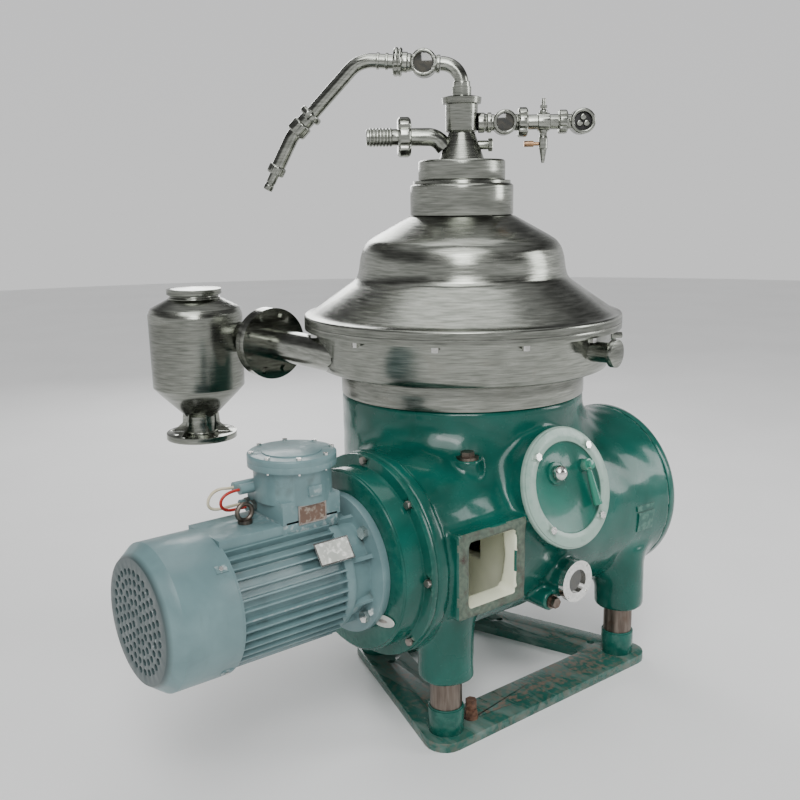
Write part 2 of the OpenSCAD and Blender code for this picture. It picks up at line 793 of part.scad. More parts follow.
// Collecting casing round the bowl, with its joint flange, port boss and cooling nipple.
module bowl_casing() {
    at_bowl() color("gainsboro") difference() {
        union() {
            rotate_extrude() polygon([
                [318, casing_z0], [casing_r - 30, casing_z0], [casing_r - 10, casing_z0 + 8],
                [casing_r, casing_z0 + 28], [casing_r, joint_z - flange_t],
                [hood_flange_r, joint_z - flange_t],
                [hood_flange_r, joint_z - 1], [casing_r - 8, joint_z - 1], [casing_r - 8, casing_z0 + 30],
                [casing_r - 16, casing_z0 + 14], [casing_r - 34, casing_z0 + 8], [318, casing_z0 + 8]
            ]);
            rotate(-78) translate([casing_r - 6, 0, 962]) rotate([0, 90, 0]) cylinder(r = 26, h = 62);
            rotate(-78) translate([casing_r + 56, 0, 962]) rotate([0, 90, 0]) cylinder(r = 36, h = 14);
            rotate(-32) translate([casing_r - 6, 0, 958]) rotate([0, 90, 0]) cylinder(r = 9, h = 62);
            rotate(-32) translate([casing_r + 22, 0, 958]) rotate([0, 90, 0]) cylinder(r = 14, h = 14);
        }
        rotate(-78) translate([casing_r - 20, 0, 962]) rotate([0, 90, 0]) cylinder(r = 18, h = 74);
        rotate(-32) translate([casing_r - 20, 0, 958]) rotate([0, 90, 0]) cylinder(r = 5, h = 90);
        translate([sludge_x, 0, sludge_z]) rotate([-90, 0, 0]) cylinder(r = sludge_r + gap, h = 500);
    }
}

// Stainless hood: a flange, a low cone, a steep wall and a domed shoulder up to the neck ring.
module frame_hood() {
    at_bowl() color("gainsboro") rotate_extrude() polygon([
        [hood_flange_r, joint_z], [hood_flange_r, joint_z + 21], [428, joint_z + 23], [418, joint_z + 30],
        [306, 1128], [294, 1140], [289, 1156], [283, 1196], [275, 1220], [262, 1238], [244, 1250],
        [142, 1307], [120, 1307], [120, 1301], [140, 1301], [240, 1244], [257, 1233], [269, 1216],
        [277, 1194], [283, 1155], [289, 1137], [302, 1122], [412, joint_z + 25], [412, joint_z]
    ]);
}

// The two round clamp rings of the pump chamber with the groove between them.
module clamp_rings() {
    at_bowl() color("gainsboro") {
        translate([0, 0, ring1_z]) ring(ring1_r, 122, 78);
        translate([0, 0, ring1_z + 78]) rotate_extrude() {
            polygon([[122, 0], [ring1_r, 0], [ring1_r - 6, 5], [134, 5], [134, 14], [122, 14]]);
        }
        translate([0, 0, ring2_z]) ring(ring2_r, 100, 50);
        translate([0, 0, ring2_z + 50]) rotate_extrude() {
            polygon([[60, 0], [ring2_r, 0], [ring2_r - 5, 5], [60, 5]]);
        }
    }
}

// The outer form of the outlet head's cone and barrel, which the outlets end against.
module head_body() rotate_extrude() {
    polygon([[0, neck_z], [62, neck_z], [36, 1527], [44, 1532], [44, 1600], [0, 1600]]);
}

// Outlet head: a cone, a barrel, the hooked cap and the collar that grips the feed pipe.
module outlet_housing() {
    at_bowl() color("gainsboro") difference() {
        rotate_extrude() polygon([
            [24, ring1_z + 20], [32, ring1_z + 20], [32, neck_z], [62, neck_z], [36, 1527], [44, 1532],
            [44, 1600], [52, 1602], [54, 1618], [40, 1622], [26, 1624], [26, 1646], [24, 1646]
        ]);
        rotate(left_deg) translate([0, 0, outlet_z]) rotate([0, 90, 0]) cylinder(r = 12, h = 100);
        rotate(right_deg) translate([0, 0, right_z]) rotate([0, 90, 0]) cylinder(r = 12, h = 100);
    }
}

// The two stationary paring discs that skim the two phases inside the pump chamber.
module paring_discs() {
    at_bowl() color("silver") {
        translate([0, 0, 1292]) ring(96, 24 + run, 12);
        translate([0, 0, 1340]) ring(96, 32 + run, 12);
    }
}

// A pipe's path in the XZ plane. Its heading is the angle from +Z towards +X, and each step is
// [straight length, bend angle, bend radius].
function ahead(h) = [sin(h), 0, cos(h)];
function aside(h) = [cos(h), 0, -sin(h)];
function bend_end(step, p, h) =
    p + step[0] * ahead(h) + step[2] * (aside(h) - aside(h + step[1]));
function path_points(steps, p, h, i = 0) =
    i >= len(steps) ? [] :
    let (
        step = steps[i],
        centre = p + step[0] * ahead(h) + step[2] * aside(h),
        cuts = step[1] > 0 ? ceil(step[1] / 8) : 0,
        first = i == 0 ? [p] : [],
        arc = [for (k = [0:cuts]) centre - step[2] * aside(h + step[1] * k / max(cuts, 1))]
    )
    concat(first, arc, path_points(steps, bend_end(step, p, h), h + step[1], i + 1));
function path_end(steps, p, h, i = 0) =
    i >= len(steps) ? [p, h] : path_end(steps, bend_end(steps[i], p, h), h + steps[i][1], i + 1);

module bent_pipe(steps, p, h, r) tube(path_points(steps, p, h), r, 16, [0, 1, 0]);
module at_end(e) translate(e[0]) rotate([0, e[1], 0]) children();

// Feed pipe down the bowl axis, its bend over the sight glass and the sloping end pipe.
module feed_pipe() {
    rise = [[4, 86, 54], [6, 0, 0]];
    top = [[58, 50, 80], [152, 0, 0]];
    tail = [[4, 16, 70], [80, 0, 0]];
    glass_end = [[glass_reach, 0, feed_z] + 44 * ahead(86), 86];
    top_start = glass_end[0] + 36 * ahead(86);
    slope = path_end(top, top_start, 86);
    tail_start = slope[0] + 70 * ahead(slope[1]);
    tip = path_end(tail, tail_start, slope[1]);
    at_bowl() color("gainsboro") {
        translate([0, 0, 960]) cylinder(r = 23.5, h = 690);
        rotate(feed_deg) {
            bent_pipe(rise, [0, 0, 1649], 0, 19);
            at_end(glass_end) cylinder(r = 27, h = 15);
            at_end(glass_end) translate([0, 0, 14]) cylinder(r = 38, h = 24);
            bent_pipe(top, top_start, 86, pipe_r);
            at_end(slope) translate([0, 0, -2]) cylinder(r = 32, h = 18);
            at_end(slope) translate([0, 0, 14]) cylinder(r = 22, h = 24);
            at_end(slope) translate([0, 0, 36]) cylinder(r = 28, h = 36);
            bent_pipe(tail, tail_start, slope[1], pipe_r);
            at_end(tip) translate([0, 0, -2]) cylinder(r = 24, h = 26);
            at_end(tip) translate([0, 0, 23]) cylinder(r = 13, h = 48);
        }
    }
}

// A round sight glass: ring, window and sleeve across a pipe, facing sideways.
module cross_glass(r, sleeve_r, reach) {
    rotate([90, 0, 0]) {
        translate([0, 0, -30]) ring(r, r - 9, 60);
        translate([0, 0, -24]) cylinder(r = r - 8, h = 48);
    }
    translate([-reach, 0, 0]) rotate([0, 90, 0]) cylinder(r = sleeve_r, h = 2 * reach);
}

module sight_glasses() {
    at_bowl() color("gainsboro") {
        rotate(feed_deg) translate([glass_reach, 0, feed_z]) rotate([0, -4, 0]) cross_glass(36, 24, 44);
        rotate(right_deg) translate([116, 0, right_z]) cross_glass(33, 22, 36);
    }
}

module union_nut(r, h) {
    difference() {
        cylinder(r = r, h = h);
        for (i = [0:5]) rotate(i * 60) translate([r + 3, 0, -1]) cylinder(r = 8, h = h + 2);
    }
}

// Left outlet: an elbow out of the head's cone, a slotted union nut and a ribbed end.
module light_phase_outlet() {
    elbow = [[14, 50, 50], [48, 0, 0]];
    start = [46, 0, 1488];
    nut = path_end(elbow, start, 40);
    at_bowl() color("gainsboro") difference() {
        rotate(left_deg) {
            bent_pipe(elbow, start, 40, 24);
            at_end(nut) translate([0, 0, -2]) difference() {
                union() {
                    union_nut(54, 36);
                    translate([0, 0, 35]) cylinder(r = 22, h = 86);
                    for (i = [0:6]) translate([0, 0, 52 + i * 9]) cylinder(r = 25, h = 5);
                }
                translate([0, 0, 10]) cylinder(r = 16, h = 120);
            }
        }
        head_body();
    }
}

// Right outlet: pipe, unions, the throttle valve body and the round end fitting.
module heavy_phase_outlet() {
    at_bowl() color("gainsboro") rotate(right_deg) {
        translate([0, 0, right_z]) rotate([0, 90, 0]) difference() {
            union() {
                difference() {
                    translate([0, 0, 36]) cylinder(r = 27, h = 44);
                    rotate([0, -90, 0]) translate([0, 0, -right_z]) head_body();
                }
                translate([0, 0, 152]) cylinder(r = 20, h = 150);
                translate([0, 0, 152]) union_nut(40, 26);
                translate([0, 0, 262]) union_nut(32, 24);
            }
            translate([0, 0, 30]) cylinder(r = 15, h = 242);
        }
        translate([222, 0, right_z + 18]) cylinder(r = 6, h = 44);
        translate([222, 0, right_z - 70]) cylinder(r = 12, h = 56);
        translate([222, 0, right_z - 108]) cylinder(r1 = 4, r2 = 10, h = 38);
        translate([326, 0, right_z]) rotate([90, 0, 0]) difference() {
            union() {
                translate([0, 0, -28]) ring(34, 24, 56);
                translate([0, 0, -20]) cylinder(r = 24.5, h = 40);
            }
            for (i = [0:2]) rotate(90 + i * 120) translate([11, 0, 12]) cylinder(r = 6, h = 10);
        }
        difference() {
            translate([34, 0, 1494]) rotate([0, 90, 0]) cylinder(r = 12, h = 46);
            head_body();
        }
        translate([72, 0, 1494]) rotate([0, 90, 0]) hex(30, 12);
    }
}

// Brass tee handle of the sampling valve.
module sampling_handle() {
    at_bowl() color("peru") rotate(right_deg) translate([222 - 12.5, 0, right_z - 57]) rotate([0, -90, 0]) {
        cylinder(r = 5, h = 14);
        translate([0, 0, 14]) cylinder(r = 8, h = 26);
    }
}

// Sludge pipe from the casing's side to the cyclone, with its bolted double flange.
module sludge_pipe() {
    length = cyclone_y - 20 - 60;
    at_bowl() color("gainsboro") translate([sludge_x, 60, sludge_z]) rotate([-90, 0, 0]) {
        difference() {
            union() {
                cylinder(r = sludge_r, h = length);
                translate([0, 0, sludge_flange_y - 60]) cylinder(r = 105, h = 20);
                translate([0, 0, sludge_flange_y - 38]) cylinder(r = 105, h = 20);
                translate([0, 0, sludge_flange_y - 42]) cylinder(r = 88, h = 10);
                for (i = [0:7]) rotate(22.5 + i * 45) translate([84, 0, sludge_flange_y - 69]) {
                    hex(19, 60);
                }
            }
            translate([0, 0, -1]) cylinder(r = sludge_r - 4, h = length + 2);
            translate([-sludge_x, 0, -60]) rotate([90, 0, 0]) {
                cylinder(r = casing_r - 8, h = 400, center = true);
            }
            translate([cyclone_x - sludge_x, 0, cyclone_y - 60]) rotate([90, 0, 0]) {
                cylinder(r = cyclone_r, h = 400, center = true);
            }
        }
    }
}

// Cyclone that slows the ejected sludge: a can with a clamped lid and a flanged bottom outlet.
module cyclone() {
    at_bowl() color("gainsboro") translate([cyclone_x, cyclone_y, 0]) difference() {
        union() {
            rotate_extrude() polygon([
                [48, 618], [110, 618], [110, 636], [48, 636], [48, 690], [cyclone_r - 12, 772],
                [cyclone_r, 786], [cyclone_r + 3, 1012], [cyclone_r - 6, 1032], [78, 1062], [74, 1070],
                [84, 1074], [84, 1090], [0, 1096], [0, 1092], [70, 1086], [70, 1058],
                [cyclone_r - 10, 1028], [cyclone_r - 2, 1010], [cyclone_r - 4, 790],
                [cyclone_r - 16, 776], [44, 692], [44, 618]
            ]);
        }
        translate([sludge_x - cyclone_x, 0, sludge_z]) rotate([90, 0, 0]) {
            cylinder(r = sludge_r + gap, h = 200);
        }
        for (i = [0:3]) rotate(45 + i * 90) translate([90, 0, 600]) cylinder(r = 9, h = 60);
    }
}

base_frame();
levelling_screw();
foot_cups();
rubber_dampers();
foot_pillars();
main_housing();
gear_end_cover();
leg_sockets();
bowl_column();
inspection_cover();
cover_bolts();
rev_counter_button();
brake_lever();
sight_glass_ring();
sight_glass_lens();
oil_plugs();
housing_plates();
motor_adapter();
housing_bolts();
motor_flange_bolts();
motor_frame();
motor_end_shield();
fan_cover();
cooling_fan();
stator_core();
motor_rotor();
terminal_box();
terminal_lid();
terminal_screws();
eyebolt();
red_lead();
cream_lead();
clutch_hub();
clutch_shoe_rear();
clutch_shoe_front();
clutch_drum();
drive_shaft();
worm_wheel();
shaft_bearings();
spindle();
spindle_bearings();
neck_springs();
bowl_body();
sliding_bottom();
disc_stack();
bowl_hood();
lock_ring();
steel_band();
bowl_casing();
frame_hood();
clamp_rings();
outlet_housing();
paring_discs();
feed_pipe();
sight_glasses();
light_phase_outlet();
heavy_phase_outlet();
sampling_handle();
sludge_pipe();
cyclone();
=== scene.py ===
"""Cream separator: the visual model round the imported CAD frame.

Shapes are drawn in millimetres from the bowl's axis; the camera, lights and materials are in metres.
"""

import math

import bpy
import numpy as np
from mathutils import Matrix, Vector


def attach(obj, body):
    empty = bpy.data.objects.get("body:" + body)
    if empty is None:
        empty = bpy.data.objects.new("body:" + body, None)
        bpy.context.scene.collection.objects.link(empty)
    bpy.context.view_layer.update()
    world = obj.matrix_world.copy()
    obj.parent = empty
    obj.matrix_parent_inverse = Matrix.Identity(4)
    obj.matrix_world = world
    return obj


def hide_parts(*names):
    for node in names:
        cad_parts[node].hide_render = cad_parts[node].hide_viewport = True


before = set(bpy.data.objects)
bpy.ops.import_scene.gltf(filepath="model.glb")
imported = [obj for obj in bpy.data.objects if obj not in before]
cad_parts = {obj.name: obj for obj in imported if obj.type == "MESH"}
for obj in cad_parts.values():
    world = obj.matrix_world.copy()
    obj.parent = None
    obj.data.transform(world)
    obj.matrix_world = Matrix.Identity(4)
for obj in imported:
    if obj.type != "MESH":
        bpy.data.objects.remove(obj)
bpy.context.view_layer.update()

MM = 0.001
BOWL = Vector((0.3055, -0.190, 0.0))
LEFT_DEG = 144.0
FEED_DEG = 137.0
RIGHT_DEG = -39.0
SHAFT_Y, SHAFT_Z = -165.0, 479.0
COVER_PLACE = np.array((-30.0, -424.0, 624.0))
COVER_NORMAL = np.array((0.0, -math.cos(math.radians(17)), math.sin(math.radians(17))))
AT_BOWL = Matrix.Translation(BOWL) @ Matrix.Diagonal((MM, MM, MM, 1.0))

# ---------------------------------------------------------------- camera

CAMERA_PLACE = Vector((-1.5287, -2.2017, 1.3573))
CAMERA_AZIMUTH, CAMERA_PITCH, CAMERA_ROLL = -38.6, 12.2, -0.8
FOCAL_PIXELS, IMAGE_PIXELS = 961.4, 800.0
SENSOR_MM, SENSOR_SHIFT = 36.0, 0.0065


def make_camera():
    az, pitch, roll = (math.radians(v) for v in (CAMERA_AZIMUTH, CAMERA_PITCH, CAMERA_ROLL))
    ahead = Vector((-math.sin(az) * math.cos(pitch), math.cos(az) * math.cos(pitch), -math.sin(pitch)))
    side = Vector((math.cos(az), math.sin(az), 0.0))
    above = side.cross(ahead)
    right = side * math.cos(roll) + above * math.sin(roll)
    up = above * math.cos(roll) - side * math.sin(roll)
    data = bpy.data.cameras.new("camera")
    data.sensor_width = SENSOR_MM
    data.lens = FOCAL_PIXELS / IMAGE_PIXELS * SENSOR_MM
    data.shift_y = SENSOR_SHIFT
    data.clip_end = 100.0
    camera = bpy.data.objects.new("camera", data)
    turn = Matrix((right, up, -ahead)).transposed().to_4x4()
    camera.matrix_world = Matrix.Translation(CAMERA_PLACE) @ turn
    bpy.context.scene.collection.objects.link(camera)
    bpy.context.scene.camera = camera


# ---------------------------------------------------------------- mesh building


def unit(v):
    return v / max(np.linalg.norm(v), 1e-12)


class Shape:
    """Gathers the surfaces of one piece in millimetres, each with its own material number."""

    def __init__(self):
        self.points, self.faces, self.kinds, self.count = [], [], [], 0

    def add(self, points, faces, matrix=None, kind=0):
        points = np.asarray(points, float)
        if matrix is not None:
            m = np.array(matrix)
            points = points @ m[:3, :3].T + m[:3, 3]
        self.points.append(points)
        self.faces.extend([[i + self.count for i in f] for f in faces])
        self.kinds.extend([kind] * len(faces))
        self.count += len(points)

    def lathe(self, profile, matrix=None, kind=0, sides=96, wave=None):
        """A profile of (radius, height) turned round local +Z. wave changes the radius by angle."""
        rows = []
        for r, z in profile:
            for k in range(sides):
                a = 2 * math.pi * k / sides
                radius = max(r * (wave(a) if wave else 1.0), 1e-4)
                rows.append((radius * math.cos(a), radius * math.sin(a), z))
        faces = []
        for i in range(len(profile) - 1):
            for k in range(sides):
                a, b = i * sides + k, i * sides + (k + 1) % sides
                faces.append([a, b, b + sides, a + sides])
        self.add(rows, faces, matrix, kind)

    def turn(self, profile, edge, steps, *place):
        """A lathed profile with its corners rounded by edge."""
        self.lathe(rounded(profile, edge, steps), *place)

    def prism(self, outline, z0, z1, matrix=None, kind=0, bevel=0.0):
        """An outline of (x, y) pushed from z0 to z1, with chamfered top and bottom edges."""
        mid = np.mean(outline, axis=0)
        rings = [(z0, 0.0), (z1, 0.0)]
        if bevel:
            rings = [(z0, bevel), (z0 + bevel, 0.0), (z1 - bevel, 0.0), (z1, bevel)]
        rows, n = [], len(outline)
        for z, inset in rings:
            for p in outline:
                d = np.asarray(p, float) - mid
                rows.append((*(mid + d * (1 - inset / max(np.linalg.norm(d), 1e-9))), z))
        faces = [[i * n + k, i * n + (k + 1) % n, (i + 1) * n + (k + 1) % n, (i + 1) * n + k]
                 for i in range(len(rings) - 1) for k in range(n)]
        faces.append(list(range(n))[::-1])
        faces.append([(len(rings) - 1) * n + k for k in range(n)])
        self.add(rows, faces, matrix, kind)

    def hexagon(self, across, z0, z1, matrix=None, kind=0, spin=0.0):
        """A nut or a bolt head with its corners turned off."""
        r = across / math.sqrt(3)
        turns = [spin + k * math.pi / 3 for k in range(6)]
        outline = [(r * math.cos(a), r * math.sin(a)) for a in turns]
        self.prism(outline, z0, z1, matrix, kind, bevel=across * 0.06)

    def sweep(self, route, radius, sides=32, matrix=None, kind=0, caps=True):
        """A round tube along a route of points. radius is a number or one number for each point."""
        route = [np.asarray(p, float) for p in route]
        radii = radius if hasattr(radius, "__len__") else [radius] * len(route)
        heading = [unit(route[min(i + 1, len(route) - 1)] - route[max(i - 1, 0)]) for i in range(len(route))]
        side = unit(np.cross(heading[0], (0.31, 0.27, 0.91)))
        rows = []
        for p, t, r in zip(route, heading, radii):
            side = unit(side - t * side.dot(t))
            other = np.cross(t, side)
            for k in range(sides):
                a = 2 * math.pi * k / sides
                rows.append(p + r * (math.cos(a) * side + math.sin(a) * other))
        faces = [[a + k, a + (k + 1) % sides, a + sides + (k + 1) % sides, a + sides + k]
                 for a in range(0, (len(route) - 1) * sides, sides) for k in range(sides)]
        if caps:
            faces.append(list(range(sides))[::-1])
            faces.append([(len(route) - 1) * sides + k for k in range(sides)])
        self.add(rows, faces, matrix, kind)

    def make(self, name, kinds, replaces=(), crease=38.0):
        """The finished piece on the machine's body. kinds are its materials."""
        mesh = bpy.data.meshes.new(name)
        points = np.concatenate(self.points)
        m = np.array(AT_BOWL)
        points = points @ m[:3, :3].T + m[:3, 3]
        mesh.from_pydata(points.tolist(), [], self.faces)
        for kind in kinds:
            mesh.materials.append(MATERIALS[kind])
        mesh.polygons.foreach_set("material_index", self.kinds)
        mesh.update()
        obj = bpy.data.objects.new(name, mesh)
        bpy.context.scene.collection.objects.link(obj)
        weld_and_shade(obj, crease)
        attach(obj, "machine")
        if replaces:
            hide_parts(*replaces)
        return obj


def rounded(profile, r, steps=5):
    """The profile with its inner corners rounded by short curves that start r before each corner."""
    pts = [np.asarray(p, float) for p in profile]
    out = [tuple(pts[0])]
    for a, b, c in zip(pts, pts[1:], pts[2:]):
        u, v = a - b, c - b
        reach = min(r, 0.48 * np.linalg.norm(u), 0.48 * np.linalg.norm(v))
        p, q = b + unit(u) * reach, b + unit(v) * reach
        for k in range(steps + 1):
            t = k / steps
            out.append(tuple((1 - t) ** 2 * p + 2 * t * (1 - t) * b + t * t * q))
    out.append(tuple(pts[-1]))
    return out


def smooth_group():
    """A node group that drops imported normals and shades smooth except along sharp edges."""
    group = bpy.data.node_groups.new("shade_by_angle", "GeometryNodeTree")
    group.interface.new_socket("Geometry", in_out="INPUT", socket_type="NodeSocketGeometry")
    group.interface.new_socket("Crease", in_out="INPUT", socket_type="NodeSocketFloat")
    group.interface.new_socket("Geometry", in_out="OUTPUT", socket_type="NodeSocketGeometry")
    new, link = group.nodes.new, group.links.new
    start, end = new("NodeGroupInput"), new("NodeGroupOutput")
    drop = new("GeometryNodeRemoveAttribute")
    drop.inputs["Name"].default_value = "custom_normal"
    faces, edges = new("GeometryNodeSetShadeSmooth"), new("GeometryNodeSetShadeSmooth")
    faces.domain, edges.domain = "FACE", "EDGE"
    angle, small = new("GeometryNodeInputMeshEdgeAngle"), new("FunctionNodeCompare")
    small.data_type, small.operation = "FLOAT", "LESS_THAN"
    link(start.outputs[0], drop.inputs["Geometry"])
    link(drop.outputs[0], faces.inputs["Geometry"])
    link(faces.outputs[0], edges.inputs["Geometry"])
    link(angle.outputs["Unsigned Angle"], small.inputs[0])
    link(start.outputs[1], small.inputs[1])
    link(small.outputs[0], edges.inputs["Shade Smooth"])
    link(edges.outputs[0], end.inputs[0])
    return group


SMOOTH = smooth_group()


def weld_and_shade(obj, crease=38.0, bevel=0.0):
    weld = obj.modifiers.new("weld", "WELD")
    weld.merge_threshold = 1e-5
    if bevel:
        edge = obj.modifiers.new("edge", "BEVEL")
        edge.width, edge.segments = bevel, 2
        edge.limit_method, edge.angle_limit = "ANGLE", math.radians(35)
        edge.use_clamp_overlap = True
    shade = obj.modifiers.new("shade", "NODES")
    shade.node_group = SMOOTH
    socket = next(s for s in SMOOTH.interface.items_tree if s.name == "Crease")
    shade[socket.identifier] = math.radians(crease)


# ---------------------------------------------------------------- leads

LEAD_R_MM = 3.5
RED_ROUTE = [
    (-804, -125, 706), (-814, -125, 706), (-828, -124, 704), (-842, -123, 698), (-850, -122, 688),
    (-850, -121, 676), (-842, -120, 666), (-830, -120, 661), (-814, -120, 660), (-800, -120, 660),
    (-786, -120, 660),
]
CREAM_ROUTE = [
    (-804, -98, 706), (-816, -98, 706), (-834, -97, 708), (-852, -95, 704), (-864, -93, 692),
    (-868, -92, 678), (-862, -91, 666), (-848, -91, 660), (-828, -91, 659), (-806, -92, 660),
    (-786, -92, 660),
]


def in_row(p):
    return AT_BOWL @ Vector(p)


def smooth_route(route, parts=4):
    """Points on a Catmull-Rom curve through the route."""
    p = [np.asarray(v, float) for v in route]
    p = [2 * p[0] - p[1], *p, 2 * p[-1] - p[-2]]
    out = []
    for a, b, c, d in zip(p, p[1:], p[2:], p[3:]):
        for k in range(parts):
            t = k / parts
            out.append(0.5 * (2 * b + (c - a) * t + (2 * a - 5 * b + 4 * c - d) * t * t
                              + (3 * b - a - 3 * c + d) * t ** 3))
    return [*out, p[-2]]


def make_lead(name, route, node, slot):
    fine = smooth_route(route)
    shape = Shape()
    shape.sweep(fine, LEAD_R_MM, sides=16)
    obj = shape.make(name, [slot], (node,))
    path = [tuple(in_row(p)) for p in fine]
    length = sum((Vector(a) - Vector(b)).length for a, b in zip(path, path[1:]))
    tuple(path[0])


# ---------------------------------------------------------------- materials


class Nodes:
    """Short names for building one material's node tree."""

    def __init__(self, name):
        self.material = bpy.data.materials.new(name)
        self.material.use_nodes = True
        self.tree = self.material.node_tree
        self.shader = self.tree.nodes["Principled BSDF"]
        self.coordinates = self.new("ShaderNodeTexCoord").outputs["Object"]

    def new(self, kind, **values):
        node = self.tree.nodes.new(kind)
        for key, value in values.items():
            setattr(node, key, value)
        return node

    def link(self, a, b):
        self.tree.links.new(a, b)

    def noise(self, scale, detail=4.0, stretch=(1, 1, 1), distortion=0.0):
        place = self.new("ShaderNodeMapping")
        place.inputs["Scale"].default_value = stretch
        self.link(self.coordinates, place.inputs["Vector"])
        noise = self.new("ShaderNodeTexNoise")
        noise.inputs["Scale"].default_value = scale
        noise.inputs["Detail"].default_value = detail
        noise.inputs["Distortion"].default_value = distortion
        self.link(place.outputs["Vector"], noise.inputs["Vector"])
        return noise.outputs["Fac"]

    def cells(self, scale, stretch=(1, 1, 1)):
        place = self.new("ShaderNodeMapping")
        place.inputs["Scale"].default_value = stretch
        self.link(self.coordinates, place.inputs["Vector"])
        cells = self.new("ShaderNodeTexVoronoi")
        cells.inputs["Scale"].default_value = scale
        self.link(place.outputs["Vector"], cells.inputs["Vector"])
        return cells.outputs["Distance"]

    def spread(self, value, low, high, out_low=0.0, out_high=1.0):
        node = self.new("ShaderNodeMapRange")
        self.link(value, node.inputs["Value"])
        ends = {"From Min": low, "From Max": high, "To Min": out_low, "To Max": out_high}
        for socket, number in ends.items():
            node.inputs[socket].default_value = number
        return node.outputs["Result"]

    def blend(self, factor, a, b):
        node = self.new("ShaderNodeMix", data_type="RGBA")
        self.link(factor, node.inputs["Factor"])
        for value, socket in ((a, node.inputs[6]), (b, node.inputs[7])):
            if isinstance(value, tuple):
                socket.default_value = (*value, 1.0)
            else:
                self.link(value, socket)
        return node.outputs[2]

    def multiply(self, a, b):
        node = self.new("ShaderNodeMath", operation="MULTIPLY")
        self.link(a, node.inputs[0])
        self.link(b, node.inputs[1])
        return node.outputs[0]

    def off_axis(self, place, axis):
        """Distance in metres from a line through place along axis."""
        apart = self.new("ShaderNodeVectorMath", operation="SUBTRACT")
        self.link(self.coordinates, apart.inputs[0])
        apart.inputs[1].default_value = place
        turned = self.new("ShaderNodeVectorMath", operation="CROSS_PRODUCT")
        self.link(apart.outputs[0], turned.inputs[0])
        turned.inputs[1].default_value = axis
        length = self.new("ShaderNodeVectorMath", operation="LENGTH")
        self.link(turned.outputs[0], length.inputs[0])
        return length.outputs["Value"]

    def along(self, axis):
        split = self.new("ShaderNodeSeparateXYZ")
        self.link(self.coordinates, split.inputs[0])
        return split.outputs[axis]

    def turned(self, amount):
        """Reflections drawn out across the lathe lines round local Z."""
        tangent = self.new("ShaderNodeTangent", direction_type="RADIAL", axis="Z")
        self.link(tangent.outputs[0], self.shader.inputs["Tangent"])
        self.shader.inputs["Anisotropic"].default_value = amount

    def edges(self, low, high):
        """1 on outer edges, 0 elsewhere."""
        shape = self.new("ShaderNodeNewGeometry")
        return self.spread(shape.outputs["Pointiness"], low, high)

    def bump(self, height, distance, strength=1.0, below=None):
        node = self.new("ShaderNodeBump")
        node.inputs["Distance"].default_value = distance
        node.inputs["Strength"].default_value = strength
        self.link(height, node.inputs["Height"])
        if below is not None:
            self.link(below, node.inputs["Normal"])
        return node.outputs["Normal"]

    def done(self, colour, rough, normal=None, metallic=0.0, coat=0.0, specular=None):
        self.link(colour, self.shader.inputs["Base Color"])
        self.link(rough, self.shader.inputs["Roughness"])
        if normal is not None:
            self.link(normal, self.shader.inputs["Normal"])
        self.shader.inputs["Metallic"].default_value = metallic
        self.shader.inputs["Coat Weight"].default_value = coat
        self.shader.inputs["Coat Roughness"].default_value = 0.08
        if specular is not None:
            self.shader.inputs["Specular IOR Level"].default_value = specular
        return self.material


def cast_enamel(name, dark, light, wear, rough=(0.16, 0.34), lumps=0.0016, coat=0.3, rim=None):
    """Thick brushed enamel over a sand casting: lumps, brush sags, dull dusty patches and worn edges.
    rim is (place, axis, radius, colour): beyond that radius the enamel is worn to the other colour."""
    n = Nodes(name)
    patches = n.spread(n.noise(5.0, 3.0, distortion=0.6), 0.35, 0.68)
    speckle = n.spread(n.noise(140.0, 2.0), 0.4, 0.75)
    colour = n.blend(patches, dark, light)
    paler = tuple(min(1.0, c * 1.5 + 0.03) for c in light)
    colour = n.blend(n.spread(speckle, 0.75, 1.0, 0.0, 0.25), colour, paler)
    scuffs = n.multiply(n.edges(0.53, 0.60), n.spread(n.noise(60.0, 5.0), 0.45, 0.62))
    colour = n.blend(scuffs, colour, wear)
    if rim is not None:
        place, axis, radius, pale = rim
        ring = n.spread(n.off_axis(place, axis), radius - 0.002, radius + 0.002)
        colour = n.blend(n.multiply(ring, n.spread(n.noise(38.0, 5.0), 0.2, 0.45, 0.6, 1.0)), colour, pale)
    big = n.bump(n.noise(16.0, 1.5), lumps, 0.9)
    mid = n.bump(n.noise(55.0, 2.0, stretch=(1, 1, 0.6)), lumps * 0.35, 0.8, big)
    fine = n.bump(n.noise(420.0, 2.0), 0.00008, 0.6, mid)
    return n.done(colour, n.spread(n.noise(11.0, 6.0), 0.3, 0.7, *rough), fine, coat=coat, specular=0.3)


def dusty_enamel(name, dark, light, dust):
    """Old enamel on a floor frame, with dry dust, rubbed streaks and bare chips."""
    n = Nodes(name)
    colour = n.blend(n.spread(n.noise(6.0, 4.0, distortion=0.5), 0.35, 0.7), dark, light)
    streaks = n.spread(n.noise(24.0, 7.0, stretch=(1, 0.25, 1), distortion=0.4), 0.48, 0.72, 0.0, 0.75)
    colour = n.blend(streaks, colour, dust)
    chips = n.multiply(n.edges(0.52, 0.60), n.spread(n.noise(70.0, 6.0), 0.45, 0.6))
    colour = n.blend(chips, colour, (0.16, 0.12, 0.09))
    normal = n.bump(n.noise(46.0, 4.0), 0.0008, 0.8)
    normal = n.bump(n.noise(380.0, 2.0), 0.0001, 0.6, normal)
    return n.done(colour, n.spread(streaks, 0.0, 0.75, 0.25, 0.55), normal, coat=0.1, specular=0.35)


# A dark colour for the grime streaks and for the painted shade in crevices.
GRIME_AND_SHADE = (0.05, 0.05, 0.04)


